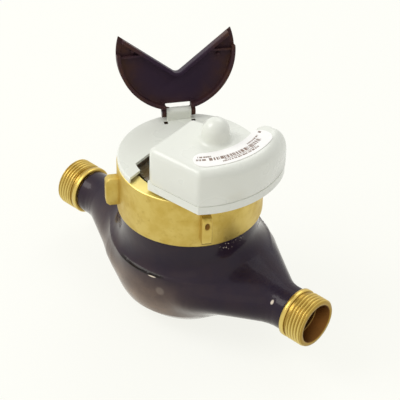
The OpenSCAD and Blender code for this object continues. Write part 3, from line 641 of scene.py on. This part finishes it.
def turned(points, degrees):
    """Points turned about the register axis."""
    a = math.radians(degrees)
    spin = np.array([[math.cos(a), -math.sin(a), 0], [math.sin(a), math.cos(a), 0], [0, 0, 1]])
    return np.asarray(points) @ spin.T


def cast_brass_recipe(place):
    """Sand-cast brass: dull gold with cloudy tarnish and fine grain, with painted light on the flat top face
    and painted shade in the lug dimples.
    """
    x, y, z = place.axes()
    # Painted light: the flat top face is a brighter, paler brass.
    lit_top = z.between((ring_top - 0.4) * mm, (ring_top - 0.1) * mm)
    r = (x * x + y * y).root()
    turn = lug_count * (x.math("ARCTAN2", y, x) - math.radians(lug_turn))
    on_lug = turn.math("COSINE", turn).between(0.984, 0.992)
    # Painted shade: the dimple in each lug is dark brown.
    by_dimple = (z - dimple_height * mm) / (3.6 * mm)
    sunk = 1 - r.between((ring_r + lug_reach - 0.7) * mm, (ring_r + lug_reach - 0.1) * mm)
    dimple = on_lug * sunk * (1 - (by_dimple * by_dimple).between(0.7, 1.0))
    cloud = place.grain(0.011, 4.0).between(0.3, 0.72)
    spots = place.grain(0.0035, 3.0).between(0.55, 0.75)
    sand = place.grain(0.0006, 4.0)
    base = cloud.mix(paint(214, 190, 108), paint(202, 174, 86))
    cast = (spots * 0.4).mix(base, paint(178, 144, 64))
    return {
        "Base Color": dimple.mix(lit_top.mix(cast, paint(240, 222, 138)), paint(120, 84, 34)),
        "Roughness": 0.36 + 0.12 * cloud + 0.08 * sand,
        "Normal": (sand * 0.6 + spots * 0.4).bump(0.00012, 0.55),
    }


cast_brass = finish("cast_brass", cast_brass_recipe, {"Metallic": 0.92})
ring_inner_r = head_thread_r + 0.05
ring_profile = (
    [(ring_inner_r, ring_bottom)]
    + arc((ring_r - ring_edge, ring_bottom + ring_edge), ring_edge, -90, 0, 4)
    + arc((ring_r - ring_edge, ring_top - ring_edge), ring_edge, 0, 90, 4)
    + arc((ring_opening_r + 0.5, ring_top - 0.5), 0.5, 90, 180, 3)
    + [(ring_opening_r, ring_seat), (ring_inner_r, ring_seat)])
ring_loops = [np.column_stack([circle(r, ring_steps), np.full(ring_steps, z)]) for r, z in ring_profile]
ring = settle(mesh_object("head_ring_casting", *loft(ring_loops + ring_loops[:1], closed=False)))
lug_points, lug_faces = lug_block()
lugs = [mesh_object("lug", turned(lug_points, lug_turn + 360 * i / lug_count), lug_faces)
        for i in range(lug_count)]
dress(combine(ring, lugs, "UNION"), "body", cast_brass, ["head_ring"])

# Register: the dry counter under its glass, a dark can with dial, rollers and brass gears.
# Through the gap beside the module only the glass, the dark dial and its plain tick marks show.
dial_ticks = 60
register_turn = 54
roller_pitch = 4.7
roller_shift = 3.5
roller_back = 21.0
roller_height = 101.2
roller_bars = 10


def register_axes(place):
    """Coordinates across, behind and above, turned with the register."""
    x, y, z = place.axes()
    spin = math.radians(register_turn)
    return x * math.cos(spin) + y * math.sin(spin), y * math.cos(spin) - x * math.sin(spin), z


def can_recipe(place):
    cloud = place.grain(0.003)
    return {
        "Base Color": cloud.mix(paint(92, 76, 52), paint(106, 88, 62)),
        "Roughness": 0.45 + 0.15 * cloud,
        "Normal": place.grain(0.0005).bump(0.00004, 0.4),
    }


def dial_recipe(place):
    """Dark printed dial with a ring of pale ticks."""
    x, y, _ = place.axes()
    r = (x * x + y * y).root()
    turn = x.math("ARCTAN2", y, x) * (dial_ticks / (2 * math.pi))
    on_tick = 1 - (turn.fraction() - 0.5).size().between(0.06, 0.1)
    band = r.between(0.0318, 0.0321) * (1 - r.between(0.0338, 0.0341))
    ground = place.grain(0.008).mix(paint(128, 102, 64), paint(142, 116, 76))
    return {
        "Base Color": (on_tick * band).mix(ground, paint(190, 180, 150)),
        "Roughness": 0.5 + 0.1 * place.grain(0.001),
    }


def roller_recipe(place):
    """White rollers, each with a ring of plain dark bars."""
    across, behind, above = register_axes(place)
    along = across - (roller_shift - roller_pitch / 2) * mm
    back = behind - roller_back * mm
    up = above - roller_height * mm
    lane = (along / (roller_pitch * mm)).fraction() - 0.5
    step = (along.math("ARCTAN2", up, back) * (roller_bars / (2 * math.pi))).fraction() - 0.5
    bar = (1 - lane.size().between(0.12, 0.15)) * (1 - step.size().between(0.28, 0.32))
    return {
        "Base Color": bar.mix(paint(238, 237, 232), paint(40, 40, 42)),
        "Roughness": 0.4 + 0.1 * place.grain(0.001),
    }


def gear_brass_recipe(place):
    lines = place.grain(0.0009, 4.0)
    return {
        "Base Color": lines.mix(paint(206, 172, 84), paint(224, 194, 112)),
        "Roughness": 0.25 + 0.14 * lines,
        "Normal": lines.bump(0.00003, 0.4),
    }


def glass_recipe(place):
    smear = place.grain(0.012, 4.0)
    return {"Roughness": 0.02 + 0.05 * smear.between(0.5, 0.8)}


register_dark = finish("register_case", can_recipe)
dial_print = finish("dial_print", dial_recipe)
roller_print = finish("roller_print", roller_recipe)
gear_brass = finish("gear_brass", gear_brass_recipe, {"Metallic": 1.0})
clear_glass = finish("register_glass_clear", glass_recipe,
                     {"Base Color": paint(244, 248, 244), "Transmission Weight": 1.0, "IOR": 1.45})
cover_node("register_can", register_dark)
cover_node("dial_plate", dial_print)
cover_node("register_glass", clear_glass)
for name in ("gear_plate", "reduction_wheel"):
    cover_node(name, gear_brass)
for name in sorted(nodes):
    if name.startswith("roller_") and name != "roller_shaft":
        cover_node(name, roller_print)

# Register cover: injection-moulded light grey plastic, clipped over the glass, with a V cut-out
# for the module and a hinge lug at the back. Its edges are rounded by the mould.
cover_rounding = 0.5
slot_at = (9.2, 37.4)
slot_half_width = 1.25
slot_half_depth = 1.5
cover_top = ring_top + 4
cover_ceiling = ring_top + 2
mask_edge = 0.2


def grey_plastic_recipe(place):
    """Glossy light grey moulding with faint flow clouds, handling marks and a fine skin."""
    cloud = place.grain(0.03)
    marks = place.grain(0.004, 5.0).between(0.62, 0.78)
    base = cloud.mix(paint(233, 235, 226), paint(225, 227, 216))
    return {
        "Base Color": (marks * 0.12).mix(base, paint(196, 192, 178)),
        "Roughness": 0.24 + 0.08 * cloud + 0.10 * marks,
        "Normal": place.grain(0.0009, 2.0).bump(0.00003, 0.35),
    }


def cover_recipe(place):
    """The grey moulding, with painted shade on the lower part of the cut edge and inside the two slots by
    the hinge lug.
    """
    across, behind, z = register_axes(place)
    r = (across * across + behind * behind).root()
    # Painted shade: below the cover's ceiling height, the inner cut edge is dark brown.
    inside = 1 - r.between((ring_r - 2.0) * mm, (ring_r - 1.6) * mm)
    cut_edge_shade = inside * (1 - z.between((cover_ceiling - 0.1) * mm, (cover_ceiling + 0.1) * mm))
    # Painted shade: the walls of the two small slots beside the hinge lug are dark brown.
    by_side = (across.size() - slot_at[0] * mm).size()
    by_back = (behind - slot_at[1] * mm).size()
    slot_shade = (
        (1 - by_side.between(slot_half_width * mm, (slot_half_width + mask_edge) * mm))
        * (1 - by_back.between(slot_half_depth * mm, (slot_half_depth + mask_edge) * mm))
        * (1 - z.between((cover_top - mask_edge) * mm, cover_top * mm)))
    shades = grey_plastic_recipe(place)
    dark = (cut_edge_shade + slot_shade).capped()
    shades["Base Color"] = dark.mix(shades["Base Color"], paint(72, 56, 36))
    return shades


def soften(node, width):
    """Rounds a CAD node's hard edges without touching its mesh."""
    weld = nodes[node].modifiers.new("weld", "WELD")
    weld.merge_threshold = 0.002 * mm
    edges = nodes[node].modifiers.new("round_edges", "BEVEL")
    edges.width = width * mm
    edges.segments = 3
    edges.limit_method = "ANGLE"
    edges.angle_limit = math.radians(40)
    edges.use_clamp_overlap = True
    edges.harden_normals = False


moulded_gloss = {"Coat Weight": 0.15, "Coat Roughness": 0.1}
grey_plastic = finish("light_grey_plastic", grey_plastic_recipe, moulded_gloss)
cover_plastic = finish("cover_grey_plastic", cover_recipe, moulded_gloss)
for name, plastic in (("register_cover", cover_plastic), ("module_base", grey_plastic)):
    cover_node(name, plastic)
    soften(name, cover_rounding)

# Module housing: the reading module's upper shell, one grey moulding with a big round-over along its
# outer wall, a small one along its flanks, and a domed coil housing that stands on its top.
module_r = 61.5
flank_angle = 49
corner_r = 45.0
front_corner_angle = -7
end_angle = 63
shoulder_clear_r = 42.0
nose_r = 5.0
module_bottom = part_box("module_housing")[0].z / mm
module_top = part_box("module_label")[0].z / mm
seam_groove = 0.5
outer_rounding = 7.0
end_rounding = 9.5
end_fall = 14.0
flank_rounding = 4.5
shoulder_rounding = 1.6
edge_corner_r = 5.0
dome_out = 28.6
dome_angle = 20
dome_r = 9.0
dome_height = 15.0
dome_foot = 3.0
dome_crown_r = 8.6
dome_lean = 6


def front_dir(degrees):
    """Direction at an angle to the right of the register's front."""
    a = math.radians(degrees)
    return np.array([math.sin(a), -math.cos(a)])


def front_arc(centre, radius, start, stop, steps):
    """Points along an arc, by angles from the register's front."""
    return [np.asarray(centre) + radius * front_dir(a) for a in np.linspace(start, stop, steps + 1)]


def rounded_corner(before, at, after, radius, steps=8):
    """Points that round off one corner of an outline."""
    u = (before - at) / np.linalg.norm(before - at)
    v = (after - at) / np.linalg.norm(after - at)
    half = math.acos(np.clip(u @ v, -1, 1)) / 2
    middle = at + (u + v) / np.linalg.norm(u + v) * radius / math.sin(half)
    first = at + u * radius / math.tan(half) - middle
    last = at + v * radius / math.tan(half) - middle
    spread = math.acos(np.clip(first @ last / radius**2, -1, 1))
    return [middle + (first * math.sin(spread * (1 - t)) + last * math.sin(spread * t)) / math.sin(spread)
            for t in np.linspace(0, 1, steps + 1)]


def module_edge():
    """The module's outline from above, with the rounding that its top edge has at each point."""
    end_r = (module_r - shoulder_clear_r) / 2
    end_at = (module_r + shoulder_clear_r) / 2 * front_dir(end_angle)
    near = corner_r * front_dir(-flank_angle)
    front = module_r * front_dir(front_corner_angle)
    nose = front_arc((0, -nose_r / math.sin(math.radians(flank_angle))), nose_r,
                     flank_angle + 90, 270 - flank_angle, 12)
    wall = front_arc((0, 0), module_r, front_corner_angle, end_angle, 60)
    front_edge = rounded_corner(near, front, wall[4], edge_corner_r)
    shoulder = front_arc((0, 0), shoulder_clear_r, end_angle, flank_angle, 10)
    stretches = [
        (nose, flank_rounding, flank_rounding),
        (rounded_corner(nose[-1], near, front, edge_corner_r), flank_rounding, flank_rounding),
        (front_edge, flank_rounding, flank_rounding + 0.5),
        (wall[5:20], flank_rounding + 0.5, outer_rounding),
        (wall[20:40], outer_rounding, outer_rounding),
        (wall[40:], outer_rounding, end_rounding),
        (front_arc(end_at, end_r, end_angle, end_angle + 90, 14)[1:], end_rounding, end_rounding),
        (front_arc(end_at, end_r, end_angle + 90, end_angle + 180, 14)[1:],
         end_rounding, shoulder_rounding),
        (shoulder[1:-1], shoulder_rounding, shoulder_rounding),
        (rounded_corner(shoulder[-2], shoulder[-1], nose[0], 1.0, 4), 1.0, 1.0),
    ]
    points = []
    rounding = []
    for stretch, start, stop in stretches:
        points += list(stretch)
        rounding += list(np.linspace(start, stop, len(stretch)))
    return np.array(points), np.array(rounding)


def inward(points):
    """Direction into a closed outline at each of its points."""
    along = np.roll(points, -1, 0) - np.roll(points, 1, 0)
    along /= np.linalg.norm(along, axis=1)[:, None]
    across = np.column_stack([-along[:, 1], along[:, 0]])
    area = np.sum(points[:, 0] * np.roll(points[:, 1], -1) - np.roll(points[:, 0], -1) * points[:, 1])
    return across if area > 0 else -across


edge, rounding = module_edge()
into = inward(edge)
shell_loops = []
for inset, height in ((seam_groove + 0.8, module_bottom), (seam_groove, module_bottom),
                      (0.15, module_bottom + 0.05), (0.0, module_bottom + 0.3)):
    shell_loops.append(np.column_stack([edge + into * inset, np.full(len(edge), height)]))
fall = np.interp(rounding, [outer_rounding, end_rounding], [0, end_fall - end_rounding]) + rounding
for turn in np.linspace(0, math.pi / 2, 13):
    inset = (rounding * (1 - math.cos(turn)))[:, None]
    shell_loops.append(np.column_stack([edge + into * inset, module_top - fall * (1 - math.sin(turn))]))
dome_at = dome_out * front_dir(dome_angle)
dome_middle = module_top + dome_height - dome_crown_r
dome_profile = (
    [(dome_r + dome_foot, module_top - 1.5)]
    + arc((dome_r + dome_foot, module_top + dome_foot), dome_foot, 270, 180 + dome_lean, 8)
    + arc((0, dome_middle), dome_crown_r, dome_lean, 90, 24))
housing, dome = [mesh_object(name, turned(points, register_turn), faces) for name, (points, faces) in (
    ("module_shell", loft(shell_loops)), ("dome", revolve(dome_profile, dome_at, 96)))]
dress(combine(housing, [dome], "UNION"), "body", grey_plastic, ["module_housing"])

# Module label: a curved white paper label on the module's top, printed with plain bars only.
label_mid_r = 48.0


def label_recipe(place):
    """White label with rows of plain dark bars that follow its curve."""
    x, y, _ = place.axes()
    r = (x * x + y * y).root()
    turn = x.math("ARCTAN2", y, x) * (label_mid_r * mm)

    def row(middle, height, start, stop, pitch, fill):
        """One row of short bars at a distance from the register axis."""
        inside = (r - middle * mm).size()
        in_row = 1 - inside.between((height / 2 - 0.1) * mm, (height / 2 + 0.1) * mm)
        begun = turn.between(start * mm, (start + 0.2) * mm)
        in_run = begun * (1 - turn.between(stop * mm, (stop + 0.2) * mm))
        dots = place.node("TexNoise", {"noise_dimensions": "1D"},
                          {"W": turn / (pitch * mm) + middle * 7.3, "Scale": 1.0, "Detail": 2.0})
        return in_row * in_run * dots.between(fill, fill + 0.04)

    print_mask = (row(51.9, 1.3, -22, 4, 0.8, 0.44) + row(50.4, 0.8, -20, 3, 0.5, 0.44)
                  + row(48.2, 2.9, -29, 11, 0.9, 0.44) + row(45.4, 1.2, 1, 14, 0.7, 0.44)
                  + row(45.2, 1.9, 16.5, 18.5, 9.0, 0.2) + row(45.4, 1.5, -36, -27, 0.9, 0.44)
                  + row(48.2, 1.8, -37, -31, 0.9, 0.44))
    soft = print_mask.capped() * 0.9
    paper = place.grain(0.005).mix(paint(252, 251, 248), paint(246, 244, 240))
    return {
        "Base Color": soft.mix(paper, paint(112, 82, 62)),
        "Roughness": 0.45 + 0.1 * place.grain(0.001),
        "Normal": place.grain(0.0004).bump(0.00002, 0.4),
    }


cover_node("module_label", finish("printed_label", label_recipe))

# Module inside: board, lithium cell and sensor coil, shut in by the shell.


def board_recipe(place):
    cloud = place.grain(0.002, 4.0)
    return {
        "Base Color": cloud.between(0.4, 0.6).mix(paint(24, 84, 40), paint(40, 110, 56)),
        "Roughness": 0.35 + 0.15 * cloud,
    }


def cell_recipe(place):
    cloud = place.grain(0.004)
    return {
        "Base Color": cloud.mix(paint(44, 120, 92), paint(56, 138, 106)),
        "Roughness": 0.28 + 0.1 * cloud,
    }


def copper_recipe(place):
    _, _, z = place.axes()
    turns = (z / 0.0003).fraction()
    return {
        "Base Color": turns.mix(paint(186, 108, 62), paint(150, 82, 46)),
        "Roughness": 0.3 + 0.15 * turns,
        "Normal": turns.bump(0.00006, 0.5),
    }


cover_node("module_board", finish("board_lacquer", board_recipe))
cover_node("module_battery", finish("cell_sleeve", cell_recipe))
cover_node("sensor_coil", finish("copper_winding", copper_recipe, {"Metallic": 0.9}))

# Lid: a dark tinted moulding that swings on the hinge pin, a round plate with a skirt and a V notch
# that goes round the module when it is shut. It stands open past upright.
lid_open = 107
hinge_back = 43.0
hinge_z = 118.6
lid_r = 39.0
lid_shift = 2.5
lid_bottom = 114.3
lid_skirt = 5.6
lid_wall = 2.4
lid_top = lid_bottom + lid_skirt + 2.2
notch_half_angle = 53.5
notch_back = 14.5
notch_round = 4.0
ear_inside = 8.5
ear_thickness = 2.5
ear_r = 3.35
lug_clear_r = 5.95
tip_gap = 12.0
tip_gap_angle = 79
tip_rib_angle = 92
tip_rib_thickness = 1.4
tip_rib_height = 3.0
tip_boss_r = 1.2
tip_boss_at = (3.2, -0.72 * lid_r)
tip_boss_height = 2.6
tip_boss_edge = 0.4
rib_inner = 18.1
lap = 0.2


def block(x, y, z):
    """A plain block between pairs of coordinates, used for ribs and cuts."""
    corners = ((x[0], y[0]), (x[1], y[0]), (x[1], y[1]), (x[0], y[1]))
    return loft([[(*corner, height) for corner in corners] for height in z])


def lid_edge(inset):
    """The lid's outline from above when shut, drawn inwards by an inset."""
    left = front_dir(-notch_half_angle)
    right = front_dir(notch_half_angle)
    apex = np.array([0, notch_back + inset / math.sin(math.radians(notch_half_angle))])
    radius = lid_r - inset
    run = -(apex @ right) + math.sqrt((apex @ right)**2 - apex @ apex + radius**2)
    tip = apex + run * right
    tip_angle = math.degrees(math.atan2(tip[0], -tip[1]))
    back = front_arc((0, 0), radius, tip_angle, 360 - tip_angle, 120)
    bend = rounded_corner(apex + run * left, apex, apex + run * right, notch_round + inset, 12)
    left_run = [back[-1] + (bend[0] - back[-1]) * t for t in np.linspace(0, 1, 26)[1:-1]]
    right_run = [bend[-1] + (back[0] - bend[-1]) * t for t in np.linspace(0, 1, 26)[1:-1]]
    return np.array(back + left_run + bend + right_run) + np.array([0, lid_shift])


def opened(points):
    """Points of the shut lid, swung open and turned with the register."""
    a = math.radians(-lid_open)
    swing = np.array([[1, 0, 0], [0, math.cos(a), -math.sin(a)], [0, math.sin(a), math.cos(a)]])
    hinge = np.array([0, hinge_back, hinge_z])
    return turned((np.asarray(points) - hinge) @ swing.T + hinge, register_turn)


def lid_recipe(place):
    """Tinted dark plastic, purple in the middle and browner towards the rim and the tips."""
    middle = opened([(0, lid_shift + 8, lid_top)])[0] * mm
    away = place.node("VectorMath", {"operation": "DISTANCE"}, {0: place, 1: middle}, output=1)
    cloud = place.grain(0.02)
    brown = away.between(0.018, 0.037) * (0.45 + 0.55 * place.grain(0.008, 3.0).between(0.35, 0.65))
    base = cloud.mix(paint(42, 27, 48), paint(50, 33, 48))
    return {
        "Base Color": brown.mix(base, paint(72, 45, 34)),
        "Roughness": 0.46 + 0.14 * cloud,
        "Normal": place.grain(0.0012, 2.0).bump(0.00004, 0.4),
    }


lid_plastic = finish("tinted_lid_plastic", lid_recipe, {"Specular IOR Level": 0.16})
lid_loops = []
ceiling = lid_bottom + lid_skirt
for inset, height in ((lid_wall + 1.0, ceiling), (lid_wall + 0.3, ceiling - 0.3),
                      (lid_wall, ceiling - 1.0),
                      (lid_wall, lid_bottom + 0.4), (lid_wall - 0.4, lid_bottom), (0.4, lid_bottom),
                      (0.0, lid_bottom + 0.4), (0.0, lid_top - 0.9), (0.28, lid_top - 0.25), (0.9, lid_top)):
    outline = lid_edge(inset)
    lid_loops.append(np.column_stack([outline, np.full(len(outline), height)]))
lid_shell = mesh_object("lid_moulding", *loft(lid_loops))
lug_tool_points, lug_tool_faces = revolve([(0, -ear_inside), (lug_clear_r, -ear_inside),
                                           (lug_clear_r, ear_inside), (0, ear_inside)], steps=64)
lug_tool = mesh_object("lug_tool", lug_tool_points[:, [2, 0, 1]] + np.array([0, hinge_back, hinge_z]),
                       lug_tool_faces)
tools = [lug_tool]
for side in (-1, 1):
    gap = block((-tip_gap / 2, tip_gap / 2), (-lid_r - 1, 0.7 + lid_wall - lid_r),
                (lid_bottom - 1, ceiling))
    gap_points = turned(gap[0], side * tip_gap_angle) + np.array([0, lid_shift, 0])
    tools.append(mesh_object("gap_tool", gap_points, gap[1]))
combine(lid_shell, tools, "DIFFERENCE")
lid_parts = []
for side in (-1, 1):
    rib = block((-tip_rib_thickness / 2, tip_rib_thickness / 2), (lid_wall / 2 - lid_r, rib_inner - lid_r),
                (ceiling - tip_rib_height, ceiling + lap))
    boss_end = ceiling - tip_boss_height
    boss = revolve([(0, boss_end), (tip_boss_r - tip_boss_edge, boss_end),
                    (tip_boss_r, boss_end + tip_boss_edge), (tip_boss_r, ceiling + lap), (0, ceiling + lap)],
                   tip_boss_at, 24)
    for points, faces in (rib, boss):
        placed = turned(points, side * tip_rib_angle) + np.array([0, lid_shift, 0])
        lid_parts.append(mesh_object("lid_detail", placed, faces))
for start in (ear_inside, -ear_inside - ear_thickness):
    eye = arc((0, 0), ear_r, -180, 0, 20)
    side = [(-ear_r - 4, ear_r - 0.4), (-ear_r - 4, 0.4), *eye, (ear_r, 1.2), (1.2, ear_r)]
    loops = [[(x, y + hinge_back, z + hinge_z) for y, z in side] for x in (start, start + ear_thickness)]
    lid_parts.append(mesh_object("ear", *loft(loops)))
lid_points, lid_faces = skin_of(combine(lid_shell, lid_parts, "UNION"))
dress(mesh_object("lid_shell", opened(lid_points), lid_faces), "lid", lid_plastic, ["lid"])

# Studio: a plain pale floor, soft light from the upper left and a camera at the photo's angle.
# Camera and reflections see the floor and the sky as white; the floor still takes the shadow.
camera_azimuth = math.radians(41.69)
camera_elevation = math.radians(36.99)
camera_roll = math.radians(1.50)
camera_distance = 1048.59
camera_offset = (7.47, 32.10)
focal_pixels = 1570.97
image_pixels = 400
sensor_width = 36.0
lamp_aim_height = 0.08

back = Vector((math.sin(camera_azimuth) * math.cos(camera_elevation),
               -math.cos(camera_azimuth) * math.cos(camera_elevation), math.sin(camera_elevation)))
level_right = Vector((math.cos(camera_azimuth), math.sin(camera_azimuth), 0))
level_up = back.cross(level_right)
right = level_right * math.cos(camera_roll) + level_up * math.sin(camera_roll)
up = level_up * math.cos(camera_roll) - level_right * math.sin(camera_roll)
target = Vector((0, 0, axis_height))
eye = target + right * camera_offset[0] + up * camera_offset[1] + back * camera_distance
lens = bpy.data.cameras.new("camera")
lens.sensor_width = sensor_width
lens.lens = focal_pixels * sensor_width / image_pixels
lens.clip_end = 20
camera = bpy.data.objects.new("camera", lens)
camera.matrix_world = Matrix.Translation(eye * mm) @ Matrix((right, up, back)).transposed().to_4x4()
bpy.context.scene.collection.objects.link(camera)
bpy.context.scene.camera = camera


def soft_light(name, place, size, power, colour=(1, 1, 1, 1)):
    """A square lamp that faces the meter."""
    lamp = bpy.data.lights.new(name, "AREA")
    lamp.size = size
    lamp.energy = power
    lamp.color = colour[:3]
    holder = bpy.data.objects.new(name, lamp)
    holder.location = place
    aim = Vector((0, 0, lamp_aim_height)) - Vector(place)
    holder.rotation_euler = aim.to_track_quat("-Z", "Y").to_euler()
    bpy.context.scene.collection.objects.link(holder)


soft_light("key", (-0.70, -0.68, 1.15), 0.8, 9.5)
soft_light("fill", (0.55, -1.03, 0.60), 0.7, 0.5, paint(255, 232, 180))
soft_light("back", (-0.3, 0.9, 1.2), 0.8, 4)

sky_level = 0.6
world = bpy.data.worlds.new("sky")
bpy.context.scene.world = world
world.use_nodes = True
sky = world.node_tree.nodes["Background"]
sky.inputs["Color"].default_value = (1, 1, 1, 1)


def seen_rays(tree):
    """1 for what is seen, straight, in a reflection or through glass, and 0 for light on the meter."""
    rays = tree.nodes.new("ShaderNodeLightPath").outputs
    straight, reflected, through = [Shade(tree, rays["Is %s Ray" % kind])
                                    for kind in ("Camera", "Glossy", "Transmission")]
    return (straight + reflected + through).capped()


sky_strength = sky_level + (1 - sky_level) * seen_rays(world.node_tree)
world.node_tree.links.new(sky_strength.socket, sky.inputs["Strength"])

floor_white = 0.85
floor_reach = 4000
floor_points = [(x * floor_reach, y * floor_reach, 0) for x, y in ((-1, -1), (1, -1), (1, 1), (-1, 1))]
floor = mesh_object("floor", floor_points, [(0, 1, 2, 3)])
floor_paint = bpy.data.materials.new("floor_paint")
floor_paint.use_nodes = True
floor_tree = floor_paint.node_tree
matt = floor_tree.nodes["Principled BSDF"]
matt.inputs["Base Color"].default_value = paint(248, 248, 246)
matt.inputs["Roughness"].default_value = 0.9
matt.inputs["Specular IOR Level"].default_value = 0.0
lit = floor_tree.nodes.new("ShaderNodeEmission")
lit.inputs["Color"].default_value = paint(255, 255, 248)
blend = floor_tree.nodes.new("ShaderNodeMixShader")
floor_tree.links.new((floor_white * seen_rays(floor_tree)).socket, blend.inputs["Fac"])
floor_tree.links.new(matt.outputs["BSDF"], blend.inputs[1])
floor_tree.links.new(lit.outputs["Emission"], blend.inputs[2])
floor_tree.links.new(blend.outputs["Shader"], floor_tree.nodes["Material Output"].inputs["Surface"])
floor.data.materials.append(floor_paint)
bpy.context.scene.view_settings.view_transform = "Standard"
